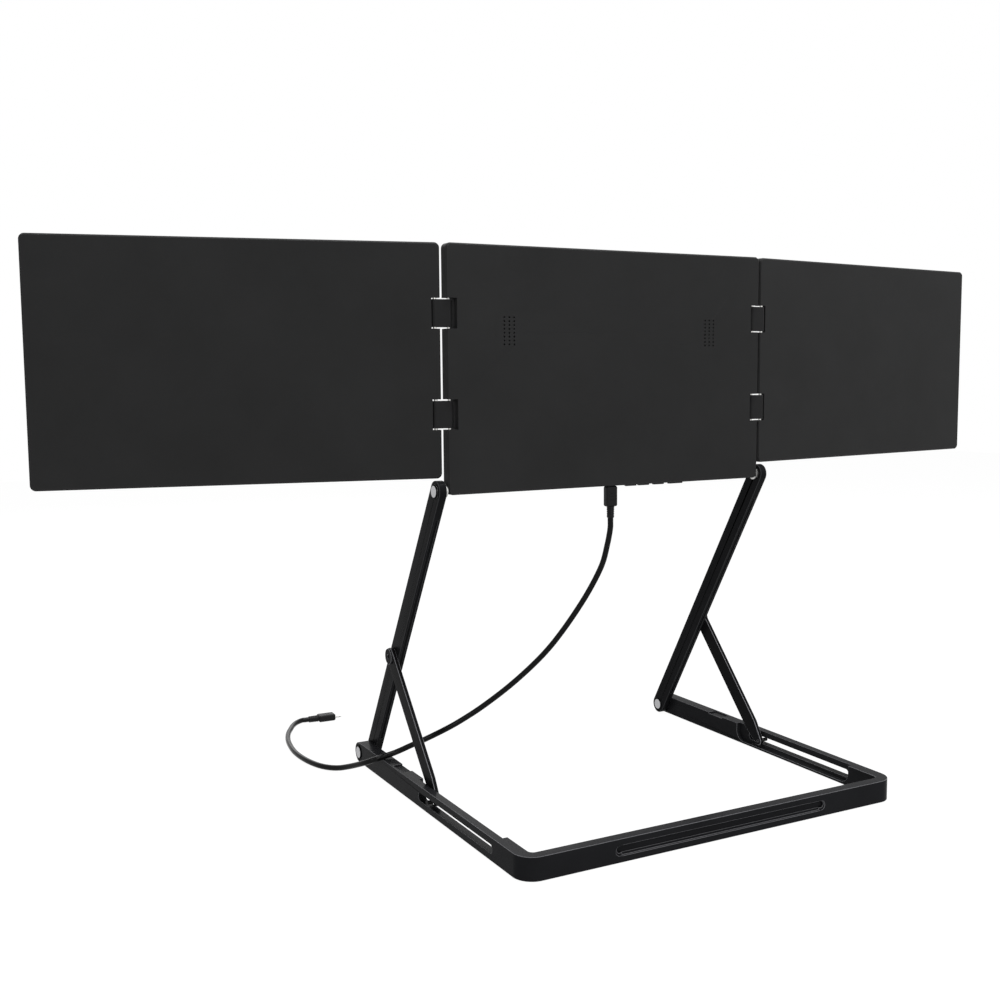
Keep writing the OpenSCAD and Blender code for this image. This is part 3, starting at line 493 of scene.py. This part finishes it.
class Workshop:
    """Mesh work in Blender's own operators, one piece at a time."""

    @staticmethod
    def clear() -> None:
        """Leaves edit mode and deselects everything."""
        if bpy.context.object and bpy.context.object.mode != "OBJECT":
            Workshop.close()
        bpy.ops.object.select_all(action="DESELECT")

    @staticmethod
    def close() -> None:
        """Leaves edit mode."""
        bpy.ops.object.mode_set(mode="OBJECT")

    @staticmethod
    def take_all() -> None:
        """Selects everything in edit mode."""
        bpy.ops.mesh.select_all(action="SELECT")

    @staticmethod
    def pick(piece: Piece) -> None:
        """Makes a piece the only selected one."""
        Workshop.clear()
        piece.select_set(True)
        bpy.context.view_layer.objects.active = piece

    @staticmethod
    def settle(piece: Piece) -> None:
        """Moves a piece's place, turn and scale into its mesh."""
        Workshop.pick(piece)
        bpy.ops.object.transform_apply(location=True, rotation=True, scale=True)

    @staticmethod
    def modifier(piece: Piece, kind: str, **settings: object) -> None:
        """Adds a modifier and applies it.

        Args:
            piece: the piece to work on.
            kind: Blender's modifier type.
            settings: attributes set on the modifier.
        """
        Workshop.pick(piece)
        step = piece.modifiers.new(kind.lower(), kind)
        for key, value in settings.items():
            setattr(step, key, value)
        bpy.ops.object.modifier_apply(modifier=step.name)

    @staticmethod
    def smooth(piece: Piece, degrees: float = 35.0) -> None:
        """Shades a piece smooth up to an angle in degrees, with flat faces kept flat."""
        Workshop.pick(piece)
        bpy.ops.object.shade_smooth_by_angle(angle=math.radians(degrees))
        Workshop.modifier(piece, "WEIGHTED_NORMAL", keep_sharp=True, weight=80)

    @staticmethod
    def choose(piece: Piece, wanted: Callable[[bmesh.types.BMFace], bool]) -> None:
        """Selects the faces that a test names, in edit mode.

        Args:
            piece: the piece to work on.
            wanted: the test for one face.
        """
        Workshop.pick(piece)
        bpy.ops.object.mode_set(mode="EDIT")
        bpy.ops.mesh.select_mode(type="FACE")
        bpy.ops.mesh.select_all(action="DESELECT")
        shape = bmesh.from_edit_mesh(piece.data)
        for face in shape.faces:
            face.select_set(wanted(face))
        bmesh.update_edit_mesh(piece.data)

    @staticmethod
    def mirrored(piece: Piece, name: str) -> Piece:
        """Copies a piece, with its own mesh, to the other side of the middle plane.

        Args:
            piece: the piece on the user's right hand side.
            name: the copy's name.

        Returns:
            The mirrored copy, with its normals facing out.
        """
        Workshop.pick(piece)
        bpy.ops.object.duplicate(linked=False)
        copy = bpy.context.object
        copy.name = name
        bpy.ops.object.mode_set(mode="EDIT")
        Workshop.take_all()
        bpy.ops.transform.resize(value=(-1.0, 1.0, 1.0), center_override=(0.0, 0.0, 0.0))
        bpy.ops.mesh.normals_make_consistent(inside=False)
        Workshop.close()
        return copy

    @staticmethod
    def turned(name: str, centre: Point, profile: Sequence[tuple[float, float]], rounding: float,
               vertices: int = 56) -> Piece:
        """Turns a part about an axis that runs along X.

        Args:
            name: the piece's name.
            centre: Y and Z of the axis are read from this point.
            profile: place along X and radius in millimetres, from the first end face to the last.
            rounding: width of the rounding on the edges, in metres.
            vertices: steps round the axis.

        Returns:
            The turned piece.
        """
        Workshop.clear()
        (place, radius), *others = profile
        bpy.ops.mesh.primitive_circle_add(vertices=vertices, radius=radius * MM, fill_type="NGON",
                                          location=(place * MM, centre[1], centre[2]),
                                          rotation=(0.0, math.pi / 2, 0.0))
        piece = bpy.context.object
        piece.name = name
        Workshop.settle(piece)
        bpy.ops.object.mode_set(mode="EDIT")
        bpy.ops.mesh.select_mode(type="FACE")
        Workshop.take_all()
        for next_place, next_radius in others:
            bpy.ops.mesh.extrude_region_move(
                TRANSFORM_OT_translate={"value": ((next_place - place) * MM, 0.0, 0.0)})
            share = next_radius / radius
            bpy.ops.transform.resize(value=(1.0, share, share),
                                     center_override=(next_place * MM, centre[1], centre[2]))
            place, radius = next_place, next_radius
        Workshop.take_all()
        bpy.ops.mesh.normals_make_consistent(inside=False)
        Workshop.close()
        Workshop.modifier(piece, "BEVEL", width=rounding, segments=2, limit_method="ANGLE",
                          angle_limit=math.radians(35.0), use_clamp_overlap=True)
        Workshop.smooth(piece)
        return piece

    @staticmethod
    def mark_outer_edges(piece: Piece, angle: float) -> None:
        """Gives the sharp outward edges a bevel weight, so that no inner corner is filled.

        Args:
            piece: the piece to mark.
            angle: sharpest angle in degrees that stays as it is.
        """
        shape = bmesh.new()
        shape.from_mesh(piece.data)
        weight = shape.edges.layers.float.new("bevel_weight_edge")
        for edge in shape.edges:
            edge[weight] = float(len(edge.link_faces) == 2 and edge.is_convex
                                 and edge.calc_face_angle(0.0) > math.radians(angle))
        shape.to_mesh(piece.data)
        shape.free()

    @staticmethod
    def merged_copy(node: str, name: str) -> Piece:
        """Copies a CAD node's mesh, joins its loose corners and clears lines on flat faces.

        Args:
            node: the CAD node.
            name: the copy's name.

        Returns:
            The copy, left in edit mode.
        """
        Workshop.clear()
        piece = bpy.data.objects.new(name, frame["nodes"][node].data.copy())
        piece.data.materials.clear()
        bpy.context.scene.collection.objects.link(piece)
        Workshop.pick(piece)
        bpy.ops.object.mode_set(mode="EDIT")
        Workshop.take_all()
        bpy.ops.mesh.remove_doubles(threshold=MERGE)
        bpy.ops.mesh.dissolve_limited(angle_limit=FLAT)
        return piece

    @staticmethod
    def softened(node: str, width: float, segments: int = 2, angle: float = 30.0) -> Piece:
        """Copies a CAD node's shape, rounds its sharp edges and marks the rounding's faces for the
        painted edge highlight.

        Args:
            node: the CAD node that the piece stands for.
            width: width of the rounding, in metres.
            segments: steps of the rounding.
            angle: sharpest angle in degrees that stays as it is.

        Returns:
            The new piece, which replaces the node and has its name with _soft.
        """
        piece = Workshop.merged_copy(node, f"{node}_soft")
        Workshop.take_all()
        bpy.ops.mesh.vert_connect_concave()  # a bevel would fold the triangles of a notched face
        Workshop.close()
        Workshop.mark_outer_edges(piece, angle)
        for _ in range(2):
            piece.data.materials.append(None)
        Workshop.modifier(piece, "BEVEL", width=width, segments=segments, limit_method="WEIGHT",
                          material=1, use_clamp_overlap=True, miter_outer="MITER_ARC")
        # the bevel's faces, on slot 1, are kept in the rounded_edge attribute; the finishes paint
        # their highlight there
        marks = [float(face.material_index) for face in piece.data.polygons]
        piece.data.polygons.foreach_set("material_index", [0] * len(marks))
        piece.data.attributes.new(EDGE, "FLOAT", "FACE").data.foreach_set("value", marks)
        piece.data.materials.clear()
        Workshop.smooth(piece)
        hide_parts(node)
        return piece


def dress(piece: Piece, finish: Finish, body: str) -> Piece:
    """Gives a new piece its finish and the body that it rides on.

    Args:
        piece: the new piece.
        finish: its surface.
        body: the CAD body that it moves with.

    Returns:
        The piece.
    """
    piece.data.materials.clear()
    piece.data.materials.append(finish.material())
    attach(piece, body)
    LOG.info("piece %s on %s: %s", piece.name, body, finish.name)
    return piece


def paint(finish: Finish, *nodes: str) -> None:
    """Gives CAD nodes a finish on their own slots.

    Args:
        finish: the surface.
        nodes: names of the CAD nodes.
    """
    for node in nodes:
        target = frame["nodes"][node]
        if not target.data.materials:
            target.data.materials.append(finish.material())
        for slot in target.material_slots:
            slot.material = finish.material()
        LOG.info("node %s: %s", node, finish.name)


# ---------------- studio


@dataclass
class Studio:
    """Camera, pale floor, soft lamps and a white surround."""

    eye: Point = (0.59348, 0.74728, 0.36898)
    heading: float = 27.86
    dip: float = 5.83
    roll: float = -0.48
    sensor: float = 36.0
    focal: float = 36.0 * 1.21122
    floor_size: float = 8.0
    floor_drop: float = 0.2 * MM
    floor_grey: float = 0.7
    floor_glow: float = 1.08
    glow_share: float = 0.9
    surround: float = 0.18

    def build(self) -> None:
        """Makes the camera, the floor, the lamps and the world."""
        self.camera()
        self.floor()
        self.lamps()
        self.world()
        bpy.context.scene.view_settings.view_transform = "Standard"

    def camera(self) -> None:
        """Places the camera at the eye point."""
        yaw, pitch, roll = (math.radians(angle) for angle in (self.heading, self.dip, self.roll))
        level = math.cos(pitch)
        ahead = Vector((-math.sin(yaw) * level, -math.cos(yaw) * level, -math.sin(pitch)))
        right = ahead.cross(UP).normalized()
        up = right.cross(ahead)
        turned_right = math.cos(roll) * right + math.sin(roll) * up
        turned_up = math.cos(roll) * up - math.sin(roll) * right
        pose = Matrix((turned_right, turned_up, -ahead)).transposed().to_4x4()
        pose.translation = Vector(self.eye)
        data = bpy.data.cameras.new("camera")
        data.lens = self.focal
        data.sensor_width = self.sensor
        data.sensor_fit = "HORIZONTAL"
        data.clip_start, data.clip_end = 0.01, 60.0
        camera = bpy.data.objects.new("camera", data)
        camera.matrix_world = pose
        bpy.context.scene.collection.objects.link(camera)
        bpy.context.scene.camera = camera

    def floor(self) -> None:
        """Adds the pale floor, which keeps a faint shadow."""
        Workshop.clear()
        bpy.ops.mesh.primitive_plane_add(size=self.floor_size,
                                         location=(0.0, 0.0, -self.floor_drop))
        floor = bpy.context.object
        floor.name = "floor"
        material = bpy.data.materials.new("floor_white")
        material.use_nodes = True
        desk = NodeDesk(material.node_tree)
        material.node_tree.nodes.remove(material.node_tree.nodes["Principled BSDF"])
        matte = desk.add("ShaderNodeBsdfDiffuse", {"Color": (*[self.floor_grey] * 3, 1.0)})
        glow = desk.add("ShaderNodeEmission", {"Strength": self.floor_glow})
        rays = desk.add("ShaderNodeLightPath")
        seen = desk.math("MAXIMUM", rays.outputs["Is Camera Ray"], rays.outputs["Is Glossy Ray"])
        share = desk.math("MULTIPLY", seen, self.glow_share)
        mix = desk.add("ShaderNodeMixShader")
        desk.join(share, mix.inputs["Fac"])
        desk.join(matte.outputs[0], mix.inputs[1])
        desk.join(glow.outputs[0], mix.inputs[2])
        desk.join(mix.outputs[0], material.node_tree.nodes["Material Output"].inputs["Surface"])
        floor.data.materials.append(material)

    def lamps(self) -> None:
        """Adds the large soft lamps."""
        for name, place, aim, size, power in (
            ("lamp_top", (-0.2, 0.1, 2.1), (0.0, -0.15, 0.1), 1.2, 44.0),
            ("lamp_back", (0.0, 2.2, 1.3), (0.0, -0.15, 0.2), 1.2, 14.0),
            ("lamp_side", (-2.0, 0.9, 1.2), (0.0, -0.15, 0.2), 1.0, 8.0),
            ("lamp_edge", (2.1, 1.0, 1.3), (0.1, -0.2, 0.2), 0.5, 7.0),
            ("lamp_user", (-0.4, -2.2, 1.4), (0.0, -0.15, 0.3), 1.6, 14.0),
        ):
            data = bpy.data.lights.new(name, "AREA")
            data.shape = "SQUARE"
            data.size = size
            data.energy = power
            lamp = bpy.data.objects.new(name, data)
            lamp.location = place
            lamp.rotation_mode = "QUATERNION"
            lamp.rotation_quaternion = (Vector(aim) - Vector(place)).to_track_quat("-Z", "Y")
            bpy.context.scene.collection.objects.link(lamp)

    def world(self) -> None:
        """Makes the surround: white to the camera, dimmer as a light."""
        world = bpy.data.worlds.new("surround")
        bpy.context.scene.world = world
        world.use_nodes = True
        desk = NodeDesk(world.node_tree)
        back = world.node_tree.nodes["Background"]
        back.inputs["Color"].default_value = (1.0, 1.0, 1.0, 1.0)
        rays = desk.add("ShaderNodeLightPath")
        seen = rays.outputs["Is Camera Ray"]
        for kind in ("Transmission", "Glossy"):
            seen = desk.math("MAXIMUM", seen, rays.outputs[f"Is {kind} Ray"])
        desk.join(desk.spread(seen, self.surround, 1.0), back.inputs["Strength"])


# ---------------- plugs


@dataclass
class Plug:
    """Moulded grip with a ringed strain relief, on the cable's end."""

    relief: float = 10.0 * MM
    relief_wide: float = 3.5 * MM
    relief_narrow: float = 3.3 * MM
    rings: int = 4
    ring_cut: float = 0.35 * MM
    ring_wide: float = 0.7 * MM
    length: float = 18.5 * MM
    width: float = 11.4 * MM
    thick: float = 7.2 * MM
    corner: float = 1.8 * MM
    ribs: tuple[float, ...] = (0.35, 0.5, 0.65)
    rib_deep: float = 0.25 * MM
    rib_half: float = 0.4 * MM
    rib_find: float = 0.35 * MM
    rib_edge: float = 0.08 * MM

    def strain_relief(self) -> Piece:
        """Makes the tapered relief along +X, with grooves cut round it.

        Returns:
            The relief.
        """
        Workshop.clear()
        bpy.ops.mesh.primitive_cylinder_add(vertices=40, radius=self.relief_wide, depth=self.relief,
                                            location=(self.relief / 2, 0.0, 0.0),
                                            rotation=(0.0, math.pi / 2, 0.0))
        piece = bpy.context.object
        Workshop.settle(piece)
        Workshop.choose(piece, lambda face: face.normal.x < -0.9)
        share = self.relief_narrow / self.relief_wide
        bpy.ops.transform.resize(value=(1.0, share, share), center_override=(0.0, 0.0, 0.0))
        step = self.relief / (self.rings + 1)
        for ring in range(1, self.rings + 1):
            for edge in (ring * step, ring * step + self.ring_wide):
                Workshop.take_all()
                bpy.ops.mesh.bisect(plane_co=(edge, 0.0, 0.0), plane_no=(1.0, 0.0, 0.0))
        Workshop.close()
        Workshop.choose(piece, lambda face: abs(face.normal.x) < 0.5 and any(
            ring * step < face.calc_center_median().x < ring * step + self.ring_wide
            for ring in range(1, self.rings + 1)))
        bpy.ops.mesh.extrude_region_shrink_fatten(
            TRANSFORM_OT_shrink_fatten={"value": -self.ring_cut, "use_even_offset": True})
        Workshop.close()
        Workshop.modifier(piece, "BEVEL", width=0.1 * MM, segments=1, limit_method="ANGLE",
                          angle_limit=math.radians(40.0), use_clamp_overlap=True)
        return piece

    def grip(self) -> Piece:
        """Makes the rounded grip along +X, with three ribs cut in each broad face.

        Returns:
            The grip, which begins where the relief ends.
        """
        Workshop.clear()
        bpy.ops.mesh.primitive_cube_add(size=1.0, scale=(self.length, self.width, self.thick),
                                        location=(self.relief + self.length / 2, 0.0, 0.0))
        piece = bpy.context.object
        Workshop.settle(piece)
        Workshop.modifier(piece, "BEVEL", width=self.corner, segments=5, limit_method="ANGLE",
                          angle_limit=math.radians(30.0), use_clamp_overlap=True)
        Workshop.pick(piece)
        bpy.ops.object.mode_set(mode="EDIT")
        for share in self.ribs:
            for edge in (-self.rib_half, self.rib_half):
                Workshop.take_all()
                bpy.ops.mesh.bisect(plane_co=(self.relief + share * self.length + edge, 0.0, 0.0),
                                    plane_no=(1.0, 0.0, 0.0))
        Workshop.close()
        centres = [self.relief + share * self.length for share in self.ribs]
        Workshop.choose(piece, lambda face: abs(face.normal.z) > 0.99 and any(
            abs(face.calc_center_median().x - centre) < self.rib_find for centre in centres))
        bpy.ops.mesh.inset(thickness=self.rib_edge, depth=-self.rib_deep)
        Workshop.close()
        return piece

    def build(self, name: str) -> Piece:
        """Joins grip and relief.

        Args:
            name: the piece's name.

        Returns:
            The piece, with the cable's end at the origin and the plug's nose along +X.
        """
        grip, relief = self.grip(), self.strain_relief()
        Workshop.clear()
        relief.select_set(True)
        grip.select_set(True)
        bpy.context.view_layer.objects.active = grip
        bpy.ops.object.join()
        grip.name = name
        Workshop.smooth(grip)
        return grip

    @staticmethod
    def placed(piece: Piece, name: str, pose: Matrix) -> Piece:
        """Copies the grip, with its own mesh, to a place.

        Args:
            piece: the grip as built.
            name: the copy's name.
            pose: the cable's end and the plug's directions.

        Returns:
            The copy, with its place in the mesh.
        """
        Workshop.pick(piece)
        bpy.ops.object.duplicate(linked=False)
        copy = bpy.context.object
        copy.name = name
        copy.matrix_world = pose
        Workshop.settle(copy)
        return copy


# ---------------- cable


@dataclass
class Cable:
    """The cable from the display's port to the far plug, with both plugs."""

    diameter: float = 5.2 * MM
    sides: int = 20
    steps: int = 5
    split_at: int = 6
    port_y: float = -0.163198
    exit_z: float = 0.241944
    far_end: Point = (0.1824, -0.4744, 0.0036)
    far_turn: float = 178.4
    arm_touch: Point = (0.1914, -0.2626, 0.0206)
    shell_round: float = 0.06 * MM
    middle: tuple[Point, ...] = (
        (2.2, -165.0, 217.0), (6.1, -167.7, 198.8), (15.6, -173.4, 176.2), (27.4, -180.6, 153.7),
        (40.4, -189.0, 131.6), (51.8, -196.8, 114.9), (66.1, -206.2, 97.8), (81.2, -216.1, 81.9),
        (98.2, -227.1, 66.2), (111.9, -235.3, 55.4), (125.8, -243.0, 46.0), (144.7, -252.7, 35.5),
        (158.0, -259.0, 29.2), (166.4, -262.2, 25.4), (173.8, -262.8, 23.4), (182.2, -262.2, 22.25),
        (191.4, -262.6, 20.6), (197.0, -266.6, 18.0), (200.3, -272.6, 15.3), (203.6, -283.3, 11.0),
        (207.5, -293.6, 7.2), (212.0, -301.8, 4.6), (217.9, -310.9, 3.2), (223.9, -322.0, 2.8),
        (228.3, -337.3, 2.7), (230.8, -355.0, 2.7), (231.2, -374.0, 2.7), (229.0, -394.0, 2.7),
        (224.6, -416.0, 2.7), (217.6, -437.0, 2.7), (209.8, -452.6, 2.8), (204.0, -462.8, 2.9),
        (197.6, -470.4, 3.2))

    def route(self) -> list[Vector]:
        """Lists the route from the near plug to the far plug.

        Returns:
            The points, in metres.
        """
        top = [Vector((0.0, self.port_y, self.exit_z - drop * MM)) for drop in (0.0, 4.0, 8.0)]
        top.append(Vector((0.6 * MM, self.port_y - 0.4 * MM, self.exit_z - 14.0 * MM)))
        turn = math.radians(self.far_turn)
        along = Vector((math.cos(turn), math.sin(turn), 0.0))
        tail = [Vector(self.far_end) - along * back * MM for back in (8.0, 4.0, 0.0)]
        return top + [Vector(point) * MM for point in self.middle] + tail

    def fine_line(self) -> tuple[list[Vector], int]:
        """Smooth line through the route.

        Returns:
            The points, and the index at which the upper length ends.
        """
        rough = self.route()
        line: list[Vector] = []
        for index in range(len(rough) - 1):
            a, b = rough[max(index - 1, 0)], rough[index]
            c, d = rough[index + 1], rough[min(index + 2, len(rough) - 1)]
            for step in range(self.steps):
                t = step / self.steps
                line.append(0.5 * (2 * b + (c - a) * t + (2 * a - 5 * b + 4 * c - d) * t * t
                                   + (3 * b - a - 3 * c + d) * t * t * t))
        line.append(rough[-1])
        return line, self.split_at * self.steps

    def tube(self, name: str, line: Sequence[Vector], whole: Sequence[Vector],
             first: int) -> Piece:
        """Sweeps a round jacket along part of the line.

        Args:
            name: the piece's name.
            line: points of this length.
            whole: all points of the cable, which give the directions.
            first: index in whole of the first point.

        Returns:
            The tube, closed at both ends.
        """
        ways = [(whole[min(i + 1, len(whole) - 1)] - whole[max(i - 1, 0)]).normalized()
                for i in range(len(whole))]
        side = ways[0].cross(Vector((0.0, 1.0, 0.0))).normalized()
        sides = []
        for way in ways:
            side = (side - side.dot(way) * way).normalized()
            sides.append(side.copy())
        shape = bmesh.new()
        rings = []
        turns = [math.tau * k / self.sides for k in range(self.sides)]
        for offset, centre in enumerate(line):
            way, out = ways[first + offset], sides[first + offset]
            across = way.cross(out)
            rings.append([shape.verts.new(
                centre + self.diameter / 2 * (math.cos(turn) * out + math.sin(turn) * across))
                for turn in turns])
        for low, high in zip(rings, rings[1:]):
            for k in range(self.sides):
                after = (k + 1) % self.sides
                shape.faces.new((low[k], low[after], high[after], high[k]))
        shape.faces.new(list(reversed(rings[0])))
        shape.faces.new(rings[-1])
        bmesh.ops.recalc_face_normals(shape, faces=shape.faces)
        mesh = bpy.data.meshes.new(name)
        shape.to_mesh(mesh)
        shape.free()
        piece = bpy.data.objects.new(name, mesh)
        bpy.context.scene.collection.objects.link(piece)
        Workshop.pick(piece)
        bpy.ops.object.shade_smooth_by_angle(angle=math.radians(50.0))
        return piece

    def build(self) -> None:
        """Makes the two lengths of cable and dresses the plugs."""
        line, cut = self.fine_line()
        upper = self.tube("cable_upper", line[:cut + 1], line, 0)
        lower = self.tube("cable_lower", line[cut:], line, cut)
        pattern = Plug().build("plug_pattern")
        hang = Matrix(((0.0, -1.0, 0.0), (0.0, 0.0, -1.0), (1.0, 0.0, 0.0))).to_4x4()
        hang.translation = line[0]
        lie = Matrix.Rotation(math.radians(self.far_turn), 4, "Z")
        lie.translation = line[-1]
        near = [Plug.placed(pattern, "near_plug_moulding", hang),
                Workshop.softened("near_plug_shell", self.shell_round, 1)]
        far = [Plug.placed(pattern, "far_plug_moulding", lie),
               Workshop.softened("far_plug_shell", self.shell_round, 1)]
        bpy.data.objects.remove(pattern)
        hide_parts("near_plug_grip")
        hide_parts("far_plug_grip")
        for (grip, shell), body in ((near, "display"), (far, "base")):
            dress(grip, PLUG_PLASTIC, body)
            dress(shell, SHEET_STEEL, body)
        for piece in (upper, lower):
            piece.data.materials.append(JACKET.material())
        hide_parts("cable")
        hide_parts("cable")
        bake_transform(upper)
        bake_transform(lower)
        over, under = line[:cut + 1], line[cut:]
        self.length(over)
        self.length(under)
        LOG.info("cable of %.3f m in two lengths", self.length(line))

    @staticmethod
    def length(line: Sequence[Vector]) -> float:
        """Length of a line of points, in metres."""
        return sum((b - a).length for a, b in zip(line, line[1:]))


# ---------------- pivot pins


@dataclass
class PivotPin:
    """Pair of black turned pins along X, each with a bright disc set in its head."""

    node: str
    body: str
    joint: str
    profile: tuple[tuple[float, float], ...]
    disc: tuple[tuple[float, float], ...]
    bright: Turned
    rounding: float = 0.12 * MM

    def build(self) -> None:
        """Turns the right pin and its disc, mirrors both and dresses them."""
        centre = joint_place(self.joint)
        for word, profile, finish in (("pin", self.profile, STRUT_PAINT),
                                      ("disc", self.disc, self.bright)):
            right = Workshop.turned(f"{self.node}_right_{word}", centre, profile, self.rounding)
            left = Workshop.mirrored(right, f"{self.node}_left_{word}")
            for piece in (right, left):
                dress(piece, finish, self.body)
                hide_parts(self.node)


# ---------------- stand


@dataclass
class Stand:
    """Base frame, pads, pins, uprights and struts."""

    frame_round: float = 0.7 * MM
    upright_round: float = 0.6 * MM
    strut_round: float = 0.45 * MM
    cap_round: float = 0.3 * MM

    def pivots(self) -> None:
        """Makes the base pins and the caps on the arms' inner sides."""
        PivotPin("base_pins", "base", "stand_fold",
                 ((167.9, 2.42), (165.7, 2.42), (165.7, 4.0), (183.5, 4.0), (183.5, 6.4),
                  (184.9, 6.4), (185.2, 6.1)),
                 ((184.9, 5.35), (185.3, 5.35), (185.4, 5.2), (185.4, 4.7), (185.28, 4.3)),
                 BASE_CAP).build()
        PivotPin("base_pin_caps", "base", "stand_fold",
                 ((167.7, 2.4), (165.7, 2.4), (165.7, 6.1), (164.95, 6.1), (164.8, 5.95)),
                 ((165.1, 5.25), (164.8, 5.25), (164.7, 5.1), (164.7, 4.6), (164.75, 4.2)),
                 BASE_CAP).build()

    def build(self) -> None:
        """Softens and dresses the stand's pieces."""
        self.pivots()
        for node, rounding, finish, body, slot in (
            ("base_frame", self.frame_round, ANODISED, "base", "frame_black"),
            ("left_upright", self.upright_round, UPRIGHT_BLACK, "uprights", "frame_black"),
            ("right_upright", self.upright_round, UPRIGHT_BLACK, "uprights", "frame_black"),
            ("left_strut", self.strut_round, STRUT_PAINT, "struts", "strut_black"),
            ("right_strut", self.strut_round, STRUT_PAINT, "struts", "strut_black"),
            ("strut_rivets", self.cap_round, STRUT_PAINT, "uprights", "strut_black"),
        ):
            dress(Workshop.softened(node, rounding), finish, body)
        paint(RUBBER, "base_pads")
        paint(NYLON, "base_washers", "strut_washers", "foot_rollers")
        paint(STRUT_PAINT, "foot_pins")


# ---------------- displays


@dataclass
class Picture:
    """Thin film that marks the picture area behind a display's glass."""

    width: float = 309.4 * MM
    height: float = 174.0 * MM
    lift: float = 2.0 * MM
    film: float = 0.03 * MM
    gap: float = 0.01 * MM
    large: float = 0.01

    def build(self, glass: str, body: str) -> Piece:
        """Cuts the film from a copy of the glass's front face.

        Args:
            glass: the CAD node of the glass.
            body: the CAD body that it moves with.

        Returns:
            The film.
        """
        piece = Workshop.merged_copy(glass, f"{glass}_picture")
        Workshop.close()
        front = min(piece.data.polygons, key=lambda face: (face.area < self.large, face.normal.y))
        normal = Vector(front.normal)
        Workshop.choose(piece, lambda face: not (
            face.normal.dot(normal) > 0.999 and face.calc_area() > self.large))
        bpy.ops.mesh.delete(type="FACE")
        Workshop.take_all()
        shape = bmesh.from_edit_mesh(piece.data)
        across = normal.cross(UP).normalized()
        places = [vertex.co.copy() for vertex in shape.verts]
        spans = [max(place.dot(way) for place in places) - min(place.dot(way) for place in places)
                 for way in (across, UP)]
        middle = sum(places, Vector()) / len(places)
        wide, high = self.width / spans[0], self.height / spans[1]
        bpy.ops.transform.resize(value=(wide, wide, high), center_override=tuple(middle))
        bpy.ops.transform.translate(value=tuple(normal * self.gap + UP * self.lift))
        bpy.ops.mesh.extrude_region_move(
            TRANSFORM_OT_translate={"value": tuple(normal * self.film)})
        Workshop.take_all()
        bpy.ops.mesh.normals_make_consistent(inside=False)
        Workshop.close()
        return dress(piece, PICTURE, body)


@dataclass
class CentreDisplay:
    """Centre display with its port, keys and pivot pins."""

    edge_round: float = 0.35 * MM
    bezel_round: float = 0.15 * MM
    key_round: float = 0.3 * MM

    def pivots(self) -> None:
        """Makes the pins that the display tilts on."""
        PivotPin("display_pins", "display", "display_tilt",
                 ((148.9, 2.0), (162.9, 2.0), (162.9, 3.5), (173.1, 3.5), (173.1, 6.0),
                  (173.9, 6.0), (174.1, 5.8)),
                 ((173.8, 4.95), (174.2, 4.95), (174.3, 4.8), (174.3, 4.3), (174.18, 3.9)),
                 TOP_CAP).build()

    def build(self) -> None:
        """Softens and dresses the centre display's pieces."""
        housing = Workshop.softened("centre_housing", self.edge_round)
        dress(housing, HOUSING, "display")
        bezel = Workshop.softened("centre_bezel", self.bezel_round)
        dress(bezel, BEZEL, "display")
        self.pivots()
        paint(SHEET_STEEL, "friction_washers")
        Picture().build("centre_glass", "display")
        paint(SCREEN, "centre_glass")
        paint(MODULE, "centre_lcd")
        paint(BOARD, "driver_board")
        paint(SPEAKER, "left_speaker", "right_speaker", "tact_switches")
        paint(SHEET_STEEL, "usb_socket")
        paint(PIN_STEEL, "board_screws", "left_centre_pins", "right_centre_pins")
        for node in ("power_button", "menu_button", "input_button", "level_rocker"):
            dress(Workshop.softened(node, self.key_round), KEY_PLASTIC, node)


@dataclass
class Wing:
    """One side display with its hinge blocks and pins."""

    side: Side
    edge_round: float = 0.35 * MM
    bezel_round: float = 0.15 * MM
    block_round: float = 0.35 * MM

    def build(self) -> None:
        """Softens and dresses the wing's pieces."""
        word = self.side.word
        body = f"{word}_wing"
        housing = Workshop.softened(f"{word}_wing_housing", self.edge_round)
        dress(housing, HOUSING, body)
        bezel = Workshop.softened(f"{word}_wing_bezel", self.bezel_round)
        dress(bezel, BEZEL, body)
        blocks = Workshop.softened(f"{word}_hinge_blocks", self.block_round, 3)
        dress(blocks, HINGE_PAINT, f"{word}_links")
        paint(SCREEN, f"{word}_wing_glass")
        Picture().build(f"{word}_wing_glass", body)
        paint(MODULE, f"{word}_wing_lcd")
        paint(BOARD, f"{word}_wing_board")
        paint(PIN_STEEL, f"{word}_wing_pins")


def main() -> None:
    """Builds the studio and the object."""
    logging.basicConfig(level=logging.INFO, format="%(message)s")
    Studio().build()
    Cable().build()
    Stand().build()
    CentreDisplay().build()
    for side in Side:
        Wing(side).build()


if __name__ == "__main__":
    main()
